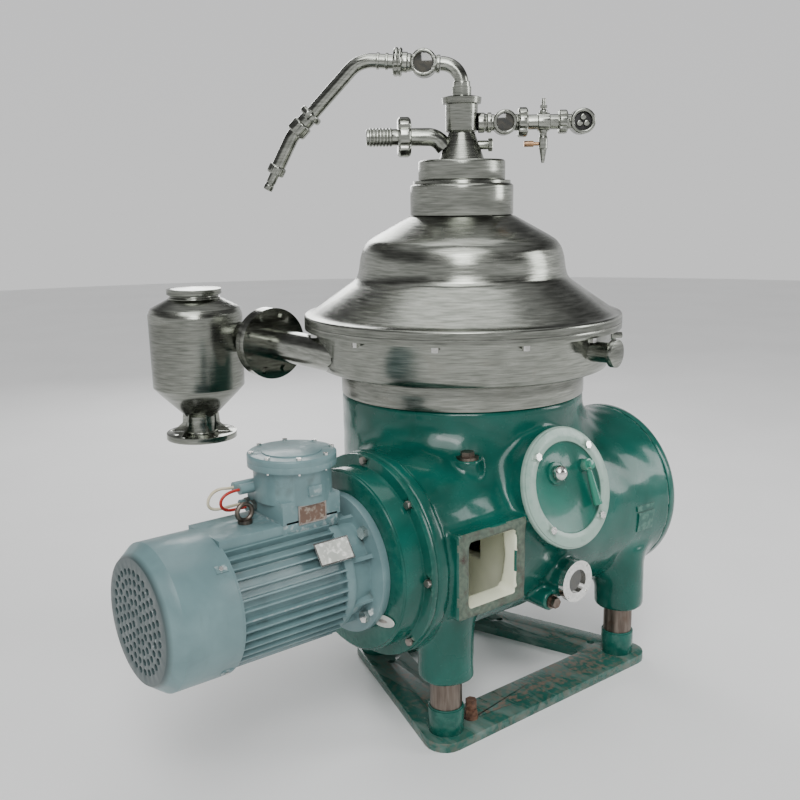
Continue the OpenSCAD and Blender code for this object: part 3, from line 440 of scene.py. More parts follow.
def smooth_paint(name, dark, light, wear, rough=(0.28, 0.48), lumps=0.0004, coat=0.1, shade=None):
    """Factory paint with grime streaks, dirt and painted shade in the crevices, and scuffs. shade is (x,
    colour): a darker tone on the face at that x.
    """
    n = Nodes(name)
    patches = n.spread(n.noise(9.0, 5.0, distortion=0.4), 0.35, 0.7)
    colour = n.blend(patches, dark, light)
    # Painted shade: crevices (low pointiness) are darkened with the dark colour, as dirt and as the shade
    # that falls in them.
    crevice_dirt_and_shade = n.multiply(n.spread(n.noise(26.0, 7.0), 0.52, 0.78, 0.0, 0.55), n.edges(0.505, 0.47))
    colour = n.blend(crevice_dirt_and_shade, colour, GRIME_AND_SHADE)
    if shade is not None:
        near = n.spread(n.along("X"), shade[0] + 0.002, shade[0] + 0.012, 0.85, 0.0)
        colour = n.blend(near, colour, shade[1])
    drips = n.spread(n.noise(34.0, 5.0, stretch=(1, 1, 0.12)), 0.62, 0.86, 0.0, 0.28)
    colour = n.blend(drips, colour, GRIME_AND_SHADE)
    scuffs = n.multiply(n.edges(0.54, 0.62), n.spread(n.noise(85.0, 5.0), 0.5, 0.64))
    colour = n.blend(scuffs, colour, wear)
    normal = n.bump(n.noise(70.0, 3.0), lumps, 0.7)
    normal = n.bump(n.noise(900.0, 1.0), 0.00004, 0.5, normal)
    return n.done(colour, n.spread(n.noise(18.0, 6.0), 0.3, 0.7, *rough), normal, coat=coat)


def metal(name, dark, light, rough=(0.1, 0.22), streak=(1, 1, 1), stain=None, grain=0.00003, scale=60.0,
          dents=0.0002, turned=0.0):
    """Polished or machined metal with fine lines, dull patches and a few stains."""
    n = Nodes(name)
    lines = n.noise(scale, 6.0, stretch=streak)
    patches = n.spread(n.noise(4.5, 4.0, distortion=0.5), 0.32, 0.7)
    colour = n.blend(n.spread(lines, 0.3, 0.7), dark, light)
    if stain is not None:
        marks = n.multiply(n.spread(n.noise(21.0, 7.0, distortion=0.8), 0.56, 0.74), patches)
        colour = n.blend(marks, colour, stain)
    low, high = rough
    dull = n.spread(n.noise(7.0, 6.0), 0.34, 0.72, low, high)
    fine = n.spread(lines, 0.25, 0.75, 0.82, 1.18)
    normal = n.bump(n.noise(9.0, 2.0), dents, 0.8)
    normal = n.bump(lines, grain, 0.7, normal)
    if turned:
        n.turned(turned)
    return n.done(colour, n.multiply(dull, fine), normal, metallic=1.0)


def rust(name, dark, light, metallic=0.35):
    n = Nodes(name)
    flakes = n.spread(n.noise(95.0, 8.0, distortion=0.5), 0.35, 0.66)
    colour = n.blend(flakes, dark, light)
    pits = n.spread(n.cells(330.0), 0.1, 0.5)
    colour = n.blend(n.multiply(pits, n.spread(n.noise(30.0), 0.5, 0.7)), colour, (0.05, 0.03, 0.025))
    normal = n.bump(n.noise(190.0, 5.0), 0.0004, 0.9)
    return n.done(colour, n.spread(flakes, 0.0, 1.0, 0.5, 0.85), normal, metallic=metallic)


def moulded(name, dark, light, rough=(0.4, 0.6), grain=0.00008, scale=700.0):
    n = Nodes(name)
    colour = n.blend(n.spread(n.noise(40.0, 5.0), 0.35, 0.7), dark, light)
    normal = n.bump(n.noise(scale, 2.0), grain, 0.8)
    return n.done(colour, n.spread(n.noise(30.0, 5.0), 0.3, 0.7, *rough), normal)


def dark_glass(name):
    """Thick sight glass with a film of dark oil behind it."""
    n = Nodes(name)
    film = n.spread(n.noise(45.0, 4.0, distortion=1.0), 0.35, 0.7)
    colour = n.blend(film, (0.012, 0.014, 0.012), (0.05, 0.045, 0.03))
    n.shader.inputs["IOR"].default_value = 1.52
    return n.done(colour, n.spread(n.noise(120.0, 4.0), 0.4, 0.8, 0.03, 0.12), coat=0.8)


def laminated(name):
    n = Nodes(name)
    sheets = n.new("ShaderNodeTexWave", wave_type="BANDS", bands_direction="X")
    sheets.inputs["Scale"].default_value = 320.0
    n.link(n.coordinates, sheets.inputs["Vector"])
    colour = n.blend(sheets.outputs["Fac"], (0.10, 0.09, 0.09), (0.32, 0.24, 0.19))
    normal = n.bump(sheets.outputs["Fac"], 0.0003, 0.8)
    return n.done(colour, n.spread(n.noise(80.0, 4.0), 0.3, 0.7, 0.35, 0.55), normal, metallic=0.7)


GREEN, LIGHT_GREEN = (0.0, 0.058, 0.042), (0.001, 0.100, 0.075)
MOTOR_TONES = (0.115, 0.195, 0.205), (0.165, 0.27, 0.28), (0.34, 0.40, 0.40)
FAN_END_X = -0.7806
PALE_RIM_R = 0.118
MATERIALS = {}


def add(maker, name, *values, **more):
    MATERIALS[name] = maker(name, *values, **more)


def add_paints():
    rim = (tuple(in_row(COVER_PLACE)), tuple(COVER_NORMAL), PALE_RIM_R, (0.30, 0.42, 0.36))
    add(cast_enamel, "green_paint", GREEN, LIGHT_GREEN, (0.05, 0.16, 0.12))
    add(cast_enamel, "cover_paint", (0.002, 0.085, 0.060), (0.006, 0.14, 0.10), (0.2, 0.3, 0.25),
        rough=(0.2, 0.36), lumps=0.0009, rim=rim)
    add(dusty_enamel, "frame_paint", (0.010, 0.075, 0.058), (0.03, 0.12, 0.095), (0.17, 0.23, 0.205))
    add(cast_enamel, "cream_paint", (0.74, 0.77, 0.59), (0.90, 0.92, 0.74), (0.30, 0.28, 0.20),
        rough=(0.35, 0.6), coat=0.05)
    add(cast_enamel, "lever_green", (0.03, 0.19, 0.13), (0.06, 0.30, 0.21), (0.35, 0.42, 0.36),
        rough=(0.15, 0.3), lumps=0.0004, coat=0.5)
    add(smooth_paint, "motor_grey", *MOTOR_TONES)
    add(smooth_paint, "fan_cover_grey", *MOTOR_TONES, shade=(FAN_END_X, (0.035, 0.05, 0.05)))
    add(smooth_paint, "brown_plate", (0.10, 0.055, 0.035), (0.17, 0.10, 0.07), (0.3, 0.25, 0.2))
    add(smooth_paint, "tag_plate", (0.42, 0.44, 0.40), (0.66, 0.67, 0.62), (0.8, 0.8, 0.75))


def add_metals():
    add(metal, "stainless", (0.20, 0.21, 0.185), (0.40, 0.41, 0.37), rough=(0.11, 0.24),
        streak=(0.35, 0.35, 3.0), stain=(0.24, 0.24, 0.21))
    add(metal, "turned_stainless", (0.165, 0.175, 0.152), (0.34, 0.35, 0.315), rough=(0.15, 0.3),
        streak=(0.3, 0.3, 4.0), stain=(0.24, 0.24, 0.21), turned=0.75)
    add(metal, "bright_steel", (0.6, 0.6, 0.58), (0.8, 0.8, 0.77), rough=(0.12, 0.26),
        stain=(0.36, 0.34, 0.30), scale=180.0, dents=0.00005)
    add(metal, "bare_steel", (0.30, 0.27, 0.25), (0.48, 0.44, 0.40), rough=(0.3, 0.5),
        streak=(1, 1, 0.1), stain=(0.20, 0.13, 0.10), scale=120.0, dents=0.0001)
    add(metal, "dull_steel", (0.11, 0.085, 0.07), (0.24, 0.20, 0.17), rough=(0.28, 0.5),
        streak=(1, 1, 0.1), stain=(0.10, 0.05, 0.03), scale=120.0, dents=0.0001)
    add(metal, "spring_steel", (0.22, 0.24, 0.27), (0.42, 0.44, 0.48), rough=(0.2, 0.35), scale=150.0)
    add(metal, "bronze", (0.42, 0.27, 0.10), (0.66, 0.46, 0.20), rough=(0.22, 0.42),
        stain=(0.2, 0.14, 0.08))
    add(metal, "brass", (0.30, 0.17, 0.09), (0.52, 0.33, 0.19), rough=(0.25, 0.45),
        stain=(0.12, 0.08, 0.06), scale=160.0)
    add(rust, "rusty_steel", (0.10, 0.045, 0.03), (0.26, 0.14, 0.09))
    add(rust, "bare_face", (0.055, 0.085, 0.062), (0.13, 0.165, 0.125), metallic=0.1)
    add(laminated, "stator_copper")


def add_moulded():
    add(moulded, "rubber", (0.012, 0.012, 0.012), (0.03, 0.03, 0.03), rough=(0.6, 0.8))
    add(moulded, "fan_plastic", (0.02, 0.02, 0.022), (0.05, 0.05, 0.052))
    add(moulded, "friction_lining", (0.12, 0.08, 0.06), (0.30, 0.20, 0.15), rough=(0.7, 0.9),
        grain=0.0003, scale=260.0)
    add(moulded, "red_sleeve", (0.30, 0.012, 0.008), (0.52, 0.035, 0.02), rough=(0.3, 0.45))
    add(moulded, "cream_sleeve", (0.62, 0.55, 0.38), (0.78, 0.72, 0.55), rough=(0.3, 0.45))
    # Near-black painted shade, standing in for the dark inside of a hollow.
    add(moulded, "hollow", (0.006, 0.006, 0.006), (0.015, 0.015, 0.015))
    add(dark_glass, "dark_glass")


NODES_OF = {
    "green_paint": "base_frame foot_cups gear_end_cover motor_adapter inspection_cover housing_plates",
    "lever_green": "brake_lever",
    "cream_paint": "clutch_drum",
    "motor_grey": "motor_frame motor_end_shield fan_cover terminal_box terminal_lid",
    "stainless": "bowl_body sliding_bottom disc_stack bowl_hood lock_ring steel_band bowl_casing clamp_rings "
                 "outlet_housing paring_discs sludge_pipe cyclone",
    "bright_steel": "cover_bolts rev_counter_button sight_glass_ring motor_flange_bolts terminal_screws "
                    "shaft_bearings spindle_bearings",
    "bare_steel": "foot_pillars housing_bolts oil_plugs motor_rotor eyebolt clutch_hub drive_shaft spindle",
    "spring_steel": "neck_springs",
    "rusty_steel": "levelling_screw",
    "bronze": "worm_wheel",
    "brass": "sampling_handle",
    "stator_copper": "stator_core",
    "rubber": "rubber_dampers",
    "fan_plastic": "cooling_fan",
    "friction_lining": "clutch_shoe_rear clutch_shoe_front",
    "dark_glass": "sight_glass_lens",
}
SLOT_OF = {node: slot for slot, nodes in NODES_OF.items() for node in nodes.split()}
LOOK_OF = {
    "foot_pillars": "dull_steel", "oil_plugs": "dull_steel", "eyebolt": "dull_steel",
    "base_frame": "frame_paint", "inspection_cover": "cover_paint", "fan_cover": "fan_cover_grey",
    "bowl_casing": "turned_stainless", "steel_band": "turned_stainless", "clamp_rings": "turned_stainless",
    "outlet_housing": "turned_stainless", "cyclone": "turned_stainless",
}
BEVEL_MM = {
    "base_frame": 3.0, "foot_cups": 1.5, "gear_end_cover": 4.0, "motor_adapter": 3.0, "inspection_cover": 2.0,
    "brake_lever": 1.5, "fan_cover": 1.2, "motor_frame": 0.8, "motor_end_shield": 1.5, "terminal_box": 2.0,
    "terminal_lid": 1.5, "bowl_casing": 1.5, "clamp_rings": 1.5, "cyclone": 1.5, "steel_band": 1.0,
}


# ---------------------------------------------------------------- cast housing
# The casting is a distance field in millimetres from the bowl axis: plain bodies joined with soft fillets.

DRUM_R, COLUMN_R, WALL = 250.0, 342.0, 22.0
DRUM_LOW, DRUM_HIGH, COLUMN_TOP = -458, 436, 822
GRID_MM = 6.0
GRID_LO, GRID_HI = np.array((-470.0, -452.0, 163.0)), np.array((452.0, 354.0, 834.0))
FEET = [(-355.0, -330.0), (325.0, -330.0), (-220.0, 137.0), (190.0, 137.0)]


def barrel(p, place, axis, low, high, r, edge):
    """Distance to a cylinder along a unit axis from low to high, with rounded rims."""
    d = p - np.asarray(place, float)
    along = d @ np.asarray(axis, float)
    across = np.sqrt(np.maximum((d * d).sum(-1) - along * along, 0.0))
    a = across - r + edge
    b = np.abs(along - (low + high) / 2) - (high - low) / 2 + edge
    return np.minimum(np.maximum(a, b), 0) + np.hypot(np.maximum(a, 0), np.maximum(b, 0)) - edge


def block(p, low, high, edge):
    low, high = np.asarray(low, float), np.asarray(high, float)
    d = np.abs(p - (low + high) / 2) - (high - low) / 2 + edge
    return np.minimum(d.max(-1), 0) + np.sqrt((np.maximum(d, 0) ** 2).sum(-1)) - edge


def join(a, b, k):
    """The union of two distances with a fillet of about k."""
    h = np.clip(0.5 + 0.5 * (b - a) / k, 0, 1)
    return b * (1 - h) + a * h - k * h * (1 - h)


def cut(a, b, k):
    return -join(-a, b, k)


X_AXIS, Z_AXIS, FRONT = (1, 0, 0), (0, 0, 1), (0, -1, 0)
PORT_PLACE = (-2, -436, 368)
DRUM_PLACE = (0.0, SHAFT_Y, SHAFT_Z)


def casting_outside(p):
    drum = barrel(p, DRUM_PLACE, X_AXIS, DRUM_LOW, DRUM_HIGH, DRUM_R, 3)
    column = barrel(p, (0, 0, 0), Z_AXIS, 400, COLUMN_TOP, COLUMN_R, 12)
    f = join(drum, column, 85)
    for x, y in FEET:
        top = 360 if y < 0 else 445
        f = join(f, barrel(p, (x, y, 0), Z_AXIS, 175, top, 70, 9), 34)
    f = join(f, barrel(p, DRUM_PLACE, X_AXIS, DRUM_LOW, -424, 260, 7), 8)
    f = join(f, block(p, (-410, -440, 368), (-184, -240, 584), 9), 18)
    f = join(f, barrel(p, COVER_PLACE, COVER_NORMAL, -190, 0, 151, 4), 26)
    f = join(f, barrel(p, PORT_PLACE, FRONT, -60, 0, 52, 5), 16)
    f = join(f, barrel(p, (-62, -416, 318), FRONT, -76, 0, 26, 4), 12)
    f = join(f, barrel(p, (-245, -290, 0), Z_AXIS, 660, 712, 34, 5), 16)
    waves = np.sin(p @ np.array((0.071, 0.043, 0.036))) + np.sin(p @ np.array((-0.031, 0.082, 0.05)))
    return f + 0.35 * (waves + np.sin(p @ np.array((0.052, -0.028, 0.094))))


def casting_cavity(p):
    f = barrel(p, DRUM_PLACE, X_AXIS, -470, -180, DRUM_R - WALL, 2)
    f = np.minimum(f, barrel(p, DRUM_PLACE, X_AXIS, -150, 190, DRUM_R - WALL, 8))
    f = np.minimum(f, barrel(p, DRUM_PLACE, X_AXIS, 220, 450, DRUM_R - WALL, 2))
    f = np.minimum(f, barrel(p, DRUM_PLACE, X_AXIS, -200, 240, 55, 0))
    f = np.minimum(f, barrel(p, (0, 0, 0), Z_AXIS, 422, 760, COLUMN_R - WALL, 8))
    f = np.minimum(f, barrel(p, (0, 0, 0), Z_AXIS, 790, 840, COLUMN_R - WALL, 2))
    f = np.minimum(f, barrel(p, (0, 0, 0), Z_AXIS, 740, 800, 90, 0))
    f = np.minimum(f, block(p, (-376, -460, 392), (-218, -300, 560), 14))
    f = np.minimum(f, barrel(p, COVER_PLACE, COVER_NORMAL, -160, 20, 112, 0))
    f = np.minimum(f, barrel(p, PORT_PLACE, FRONT, -90, 10, 34, 0))
    for x, y in FEET:
        f = np.minimum(f, barrel(p, (x, y, 0), Z_AXIS, 160, 273, 41, 0))
    return f


def casting(p):
    return cut(casting_outside(p), casting_cavity(p), 5)


def surface_net(values, low, step):
    """Points and quads of the zero surface of a grid of distances (naive surface nets)."""
    inside = values < 0
    n = np.array(values.shape) - 1
    corners = [(i, j, k) for i in (0, 1) for j in (0, 1) for k in (0, 1)]

    def corner(a, c):
        return a[c[0]:c[0] + n[0], c[1]:c[1] + n[1], c[2]:c[2] + n[2]]

    total = sum(corner(inside, c).astype(np.int8) for c in corners)
    mixed = (total > 0) & (total < 8)
    index = np.full(mixed.shape, -1, np.int64)
    index[mixed] = np.arange(mixed.sum())
    place, hits = np.zeros((mixed.sum(), 3)), np.zeros(mixed.sum())
    for a in corners:
        for axis in range(3):
            if a[axis]:
                continue
            b = tuple(v + (i == axis) for i, v in enumerate(a))
            fa, fb = corner(values, a)[mixed], corner(values, b)[mixed]
            cross = (fa < 0) != (fb < 0)
            t = np.where(cross, fa / np.where(cross, fa - fb, 1.0), 0.0)
            point = np.array(a, float) + t[:, None] * np.eye(3)[axis]
            place += point * cross[:, None]
            hits += cross
    cells = np.argwhere(mixed)
    points = low + (cells + place / hits[:, None]) * step
    quads = []
    for axis in range(3):
        u, v = (axis + 1) % 3, (axis + 2) % 3
        shift = np.eye(3, dtype=int)
        here = inside[tuple(slice(0, -1) if i == axis else slice(None) for i in range(3))]
        after = inside[tuple(slice(1, None) if i == axis else slice(None) for i in range(3))]
        at = np.argwhere(here != after)
        at = at[(at[:, u] > 0) & (at[:, v] > 0) & (at[:, u] < n[u]) & (at[:, v] < n[v])]
        outward = here[tuple(at.T)]
        ring = [at - shift[u] - shift[v], at - shift[v], at, at - shift[u]]
        quad = np.stack([index[tuple(c.T)] for c in ring], 1)
        quads.append(np.where(outward[:, None], quad, quad[:, ::-1]))
    return points, np.concatenate(quads)


def settle(points, field, rounds=2, h=0.4):
    """Moves points onto the zero surface of the field along its slope."""
    for _ in range(rounds):
        f = field(points)
        slope = np.stack([(field(points + h * e) - field(points - h * e)) / (2 * h) for e in np.eye(3)], 1)
        size = np.maximum((slope * slope).sum(1), 0.2)
        points = points - np.clip(f / size, -3, 3)[:, None] * slope
    return points


def make_housing():
    axes = [np.arange(lo, hi, GRID_MM) for lo, hi in zip(GRID_LO, GRID_HI)]
    values = np.empty([len(a) for a in axes])
    yz = np.stack(np.meshgrid(axes[1], axes[2], indexing="ij"), -1)
    for i, x in enumerate(axes[0]):
        p = np.concatenate([np.full((*yz.shape[:2], 1), x), yz], -1).reshape(-1, 3)
        values[i] = casting(p).reshape(yz.shape[:2])
    points, quads = surface_net(values, GRID_LO, GRID_MM)
    points = settle(points, casting)
    middle = points[quads].mean(1)
    deep = casting_outside(middle) < -5.0
    boss_face = (~deep) & (middle[:, 1] < -436) & (middle[:, 0] < -184) & (middle[:, 0] > -410)
    shape = Shape()
    shape.add(points, quads.tolist())
    shape.kinds = np.where(deep, 1, np.where(boss_face, 2, 0)).tolist()
    kinds = ["green_paint", "cream_paint", "bare_face"]
    shape.make("housing_casting", kinds, ("main_housing", "leg_sockets", "bowl_column"), crease=80.0)


# ---------------------------------------------------------------- hood and pipework

JOINT_Z = 1021.0
PIPE_R = 19.0
RIGHT_Z, FEED_Z, GLASS_REACH, GLASS_HEADING = 1552.0, 1709.0, 102.0, 86


def spin_z(degrees):
    return Matrix.Rotation(math.radians(degrees), 4, "Z")


def spin_y(degrees):
    return Matrix.Rotation(math.radians(degrees), 4, "Y")


def spin_x(degrees):
    return Matrix.Rotation(math.radians(degrees), 4, "X")


def shift(x, y, z):
    return Matrix.Translation((x, y, z))


LEFT, FEED, RIGHT = spin_z(LEFT_DEG), spin_z(FEED_DEG), spin_z(RIGHT_DEG)


def ahead(h):
    return np.array((math.sin(math.radians(h)), 0.0, math.cos(math.radians(h))))


def aside(h):
    return np.array((math.cos(math.radians(h)), 0.0, -math.sin(math.radians(h))))


def run_path(steps, p, h, cut_deg=4.0):
    """Points along straights and bends, the last place and heading. A step is (straight, bend, radius)."""
    p = np.asarray(p, float)
    out = [p]
    for straight, bend, radius in steps:
        centre = p + straight * ahead(h) + radius * aside(h)
        cuts = max(1, math.ceil(bend / cut_deg)) if bend else 0
        for k in range(cuts + 1):
            out.append(centre - radius * aside(h + (bend * k / cuts if cuts else 0.0)))
        h += bend
        p = out[-1]
    keep = [out[0]]
    for q in out[1:]:
        if np.linalg.norm(q - keep[-1]) > 0.05:
            keep.append(q)
    return keep, p, h


def at_end(base, p, h):
    return base @ shift(*p) @ spin_y(h)


def lobes(count, depth, width):
    """A radius change by angle for a union nut with round slots."""
    def wave(a):
        d = (a * count / (2 * math.pi) + 0.5) % 1.0 - 0.5
        return 1.0 - depth * math.exp(-((d / width) ** 2))
    return wave


def knurl(a):
    """The radius change of a finely grooved hand nut."""
    return 1 + 0.018 * math.cos(24 * a)


def tube_profile(r_out, r_in, z0, z1, edge=2.0):
    edge = min(edge, (z1 - z0) * 0.45, (r_out - r_in) * 0.45)
    middle = (r_in, (z0 + z1) / 2)
    return rounded([middle, (r_in, z0), (r_out, z0), (r_out, z1), (r_in, z1), middle], edge, 3)


def chamfered(r_in, r, z0, z1, c):
    """A ring's profile with chamfers of c on its rims."""
    return [(r_in, z0), (r - c, z0), (r, z0 + c), (r, z1 - c), (r - c, z1), (r_in, z1)]


def disc_profile(r, z0, z1, edge=2.0):
    return rounded([(0, z0), (r, z0), (r, z1), (0, z1)], edge, 3)


def make_hood():
    outside = [(444, JOINT_Z), (444, 1042), (430, 1044), (418, 1050), (306, 1128), (295, 1139), (289, 1156),
               (283, 1196), (275, 1220), (262, 1238), (244, 1250), (142, 1307), (120, 1307)]
    inside = [(120, 1301), (140, 1301), (240, 1244), (257, 1233), (269, 1216), (277, 1194), (283, 1155),
              (289, 1137), (302, 1122), (412, 1047), (412, JOINT_Z), (444, JOINT_Z)]
    shape = Shape()
    shape.lathe(rounded(outside + inside, 9.0, 5), sides=192)
    shape.make("hood_spinning", ["turned_stainless"], ("frame_hood",), crease=50.0)


def sight_glass(shape, matrix, r, sleeve_r, reach):
    """Round glass across a pipe: a grooved ring and a dark window on each side, and the pipe sleeves."""
    across = matrix @ spin_x(90)
    for side in (0, 180):
        face = across @ spin_x(side)
        shape.turn([(r - 10, 0), (r - 10, 26), (r - 9, 30), (r - 3, 30), (r, 27), (r, 20), (r - 3, 18),
                    (r - 3, 14), (r, 12), (r, 0)], 1.5, 3, face, 0, 64)
        shape.lathe([(0, 25), (r - 14, 25), (r - 9, 24)], face, 1, 48)
        for k in range(6):
            shape.hexagon(7, 29, 32.5, face @ spin_z(30 + 60 * k) @ shift(r - 6, 0, 0))
    along = matrix @ spin_y(90)
    bore, neck = sleeve_r - 4, sleeve_r - 2
    shape.turn([(bore, -reach), (sleeve_r, -reach), (sleeve_r, -reach + 8), (neck, -reach + 10),
                (neck, reach - 10), (sleeve_r, reach - 8), (sleeve_r, reach), (bore, reach)],
               1.5, 3, along, 0, 48)


def make_sight_glasses():
    shape = Shape()
    sight_glass(shape, FEED @ shift(GLASS_REACH, 0, FEED_Z) @ spin_y(-4), 36, 24, 44)
    sight_glass(shape, RIGHT @ shift(116, 0, RIGHT_Z), 33, 22, 36)
    shape.make("pipe_sight_glasses", ["stainless", "dark_glass"], ("sight_glasses",))


def make_feed_pipe():
    shape = Shape()
    shape.lathe([(0, 960), (23.5, 960), (23.5, 1650), (0, 1650)], sides=48)
    rise, _, _ = run_path([(4, GLASS_HEADING, 54), (6, 0, 0)], (0, 0, 1649), 0)
    shape.sweep(rise, PIPE_R, 48, FEED)
    shape.lathe(tube_profile(23, 18, 1646, 1660), None, 0, 48)
    end = np.array((GLASS_REACH, 0, FEED_Z)) + 44 * ahead(GLASS_HEADING)
    joint = at_end(FEED, end, GLASS_HEADING)
    shape.lathe(disc_profile(27, 0, 15), joint, 0, 48)
    nut = [(0, 14), (34, 14), (38, 18), (38, 22), (35, 25), (38, 28), (38, 34), (34, 38), (0, 38)]
    shape.turn(nut, 1.5, 3, joint, 0, 72, lobes(6, 0.10, 0.13))
    start = end + 36 * ahead(GLASS_HEADING)
    top, p, h = run_path([(58, 50, 80), (152, 0, 0)], start, GLASS_HEADING)
    shape.sweep(top, PIPE_R, 48, FEED)
    for far in (20, 44):
        place = at_end(FEED, start + far * ahead(GLASS_HEADING), GLASS_HEADING)
        shape.lathe(tube_profile(22, 17, -4, 4, 1.5), place, 0, 48)
    clamp = at_end(FEED, p, h)
    shape.turn([(0, -2), (29, -2), (32, 2), (32, 12), (29, 16), (0, 16)], 1.5, 3, clamp, 0, 48)
    shape.prism([(-9, 24), (9, 24), (7, 40), (-7, 40)], 0, 14, clamp, 0, 2.0)
    shape.prism([(-9, -24), (9, -24), (7, -38), (-7, -38)], 0, 14, clamp, 0, 2.0)
    shape.hexagon(15, -6, 20, clamp @ shift(0, 33, 0))
    shape.lathe(disc_profile(22, 14, 38), clamp, 0, 48)
    shape.turn(chamfered(0, 28, 36, 72, 4), 1.5, 3, clamp, 0, 72, lobes(8, 0.07, 0.2))
    begin = p + 70 * ahead(h)
    tail, p, h = run_path([(4, 16, 70), (80, 0, 0)], begin, h)
    shape.sweep(tail, PIPE_R, 48, FEED)
    nozzle = at_end(FEED, p, h)
    shape.turn([(0, -2), (21, -2), (24, 2), (24, 20), (21, 24), (0, 24)], 1.5, 3, nozzle, 0, 96, knurl)
    tip = [(9, 60), (9, 71), (13, 71), (13, 58), (11.5, 56), (11.5, 50), (13, 48), (13, 23)]
    shape.turn(tip, 1.0, 3, nozzle, 0, 48)
    shape.make("feed_pipe_run", ["stainless"], ("feed_pipe",))


def make_light_outlet():
    shape = Shape()
    elbow, p, h = run_path([(14, 50, 50), (48, 0, 0)], (46, 0, 1488), 40)
    shape.sweep(elbow, 24, 48, LEFT)
    nut = at_end(LEFT, p, h) @ shift(0, 0, -2)
    shape.turn(chamfered(20, 54, 0, 36, 6), 2.5, 4, nut, 0, 120, lobes(6, 0.15, 0.11))
    ribs = [(16, 30), (16, 121), (20, 121), (22, 119)]
    for i in range(6, -1, -1):
        z = 52 + i * 9
        ribs += [(22, z + 6.5), (25, z + 5), (25, z + 1), (22, z - 0.5)]
    ribs += [(22, 34)]
    shape.turn(ribs, 1.0, 3, nut, 0, 64)
    shape.make("left_outlet_run", ["stainless"], ("light_phase_outlet",))


def make_heavy_outlet():
    shape = Shape()
    along = RIGHT @ shift(0, 0, RIGHT_Z) @ spin_y(90)
    coupling = [(15, 44), (27, 44), (27, 60), (24, 63), (24, 66), (27, 69), (27, 80), (15, 80)]
    shape.turn(coupling, 1.5, 3, along, 0, 48)
    shape.lathe(tube_profile(20, 15, 152, 302), along, 0, 48)
    for r, z0, z1, c in ((40, 152, 178, 4), (32, 262, 286, 3)):
        shape.turn(chamfered(16, r, z0, z1, c), 2.0, 4, along, 0, 96, lobes(6, 0.14, 0.11))
    shape.turn([(16, 204), (24, 206), (24, 238), (16, 240)], 2.0, 4, along, 0, 48)
    valve = RIGHT @ shift(222, 0, RIGHT_Z)
    shape.turn([(0, 18), (11, 18), (11, 30), (6, 33), (6, 62), (0, 62)], 1.5, 3, valve, 0, 40)
    shape.hexagon(17, 36, 44, valve)
    shape.turn([(0, -14), (12, -14), (12, -26), (10, -28), (10, -38), (12, -40), (12, -70), (10, -72),
                (4, -108), (0, -108)], 1.2, 3, valve, 0, 40)
    end = RIGHT @ shift(326, 0, RIGHT_Z) @ spin_x(90)
    for side in (0, 180):
        face = end @ spin_x(side)
        shape.turn([(24, 0), (24, 26), (26, 28), (31, 28), (34, 25), (34, 0)], 1.5, 3, face, 0, 64)
        # Painted shade: a near-black disc at the bottom of the ring stands in for the shade in the hollow.
        shape.lathe(disc_profile(24.5, 0, 18), face, 1, 48)
        for k in range(3):
            petal = face @ spin_z(90 + 120 * k) @ shift(11, 0, 0)
            shape.turn([(0, 17), (8.5, 17), (8.5, 24), (6, 26), (0, 26)], 1.5, 3, petal, 0, 32)
    stub = RIGHT @ shift(0, 0, 1494) @ spin_y(90)
    shape.lathe(disc_profile(12, 34, 80), stub, 0, 40)
    shape.hexagon(30, 72, 84, stub)
    shape.make("right_outlet_run", ["stainless", "hollow"], ("heavy_phase_outlet",))


# ---------------------------------------------------------------- small details


BOX_X, BOX_HALF = -684, 78
CYCLONE_X, CYCLONE_Y = -465, 720
GLANDS = [(-125, 706, -744, 27), (-98, 706, -724, 27), (-120, 660, -760, 23), (-92, 660, -760, 23)]


def rivet(shape, matrix, r=3.0, kind=0):
    shape.turn([(0, -2), (r, -2), (r, 0.6), (0, 1.8)], 0.8, 3, matrix, kind, 20)


def plate(shape, matrix, width, height, kind, rim_kind):
    """A blank riveted plate with a raised rim, in the local XY plane."""
    w, h = width / 2, height / 2
    shape.prism([(-w, -h), (w, -h), (w, h), (-w, h)], -1.0, 1.4, matrix, rim_kind, 0.6)
    w, h = w - 3.5, h - 3.5
    shape.prism([(-w, -h), (w, -h), (w, h), (-w, h)], 1.0, 1.9, matrix, kind, 0.4)
    for x in (-w + 2, w - 2):
        for y in (-h + 2, h - 2):
            rivet(shape, matrix @ shift(x, y, 1.4), 1.8, rim_kind)


def facing_front(x, y, z):
    return shift(x, y, z) @ spin_x(90)


def make_plates():
    shape = Shape()
    plate(shape, facing_front(BOX_X, SHAFT_Y - BOX_HALF - 1.5, 655), 76, 46, 1, 0)
    shape.make("terminal_box_plate", ["bare_steel", "brown_plate"])
    shape = Shape()
    lean = math.degrees(math.atan2(94, 133))
    plate(shape, shift(-664, SHAFT_Y - 134, SHAFT_Z + 94) @ spin_x(90 - lean), 94, 56, 1, 0)
    shape.make("motor_plate", ["bright_steel", "tag_plate"])


def make_flange_tag():
    """A pale oval tag with a slot, wired under the motor flange."""
    shape = Shape()
    face = shift(-538, -312, 368) @ spin_y(-90) @ spin_z(101)
    outline = [(44 * math.cos(a), 15 * math.sin(a)) for a in np.linspace(0, 2 * math.pi, 40, endpoint=False)]
    shape.prism(outline, -1.0, 1.6, face, 0, 0.7)
    shape.prism([(0.42 * x, 0.3 * y) for x, y in outline], 1.0, 2.2, face, 1, 0.3)
    shape.make("flange_tag", ["tag_plate", "bare_steel"])


def make_box_foot():
    """The square foot of the terminal box, cast down onto the cooling ribs."""
    shape = Shape()
    half, cut_off = BOX_HALF, BOX_HALF - 9
    outline = [(-half, -cut_off), (-cut_off, -half), (cut_off, -half), (half, -cut_off), (half, cut_off),
               (cut_off, half), (-cut_off, half), (-half, cut_off)]
    shape.prism(outline, 612, 645, shift(BOX_X, SHAFT_Y, 0), 0, 1.5)
    shape.make("terminal_box_foot", ["motor_grey"])


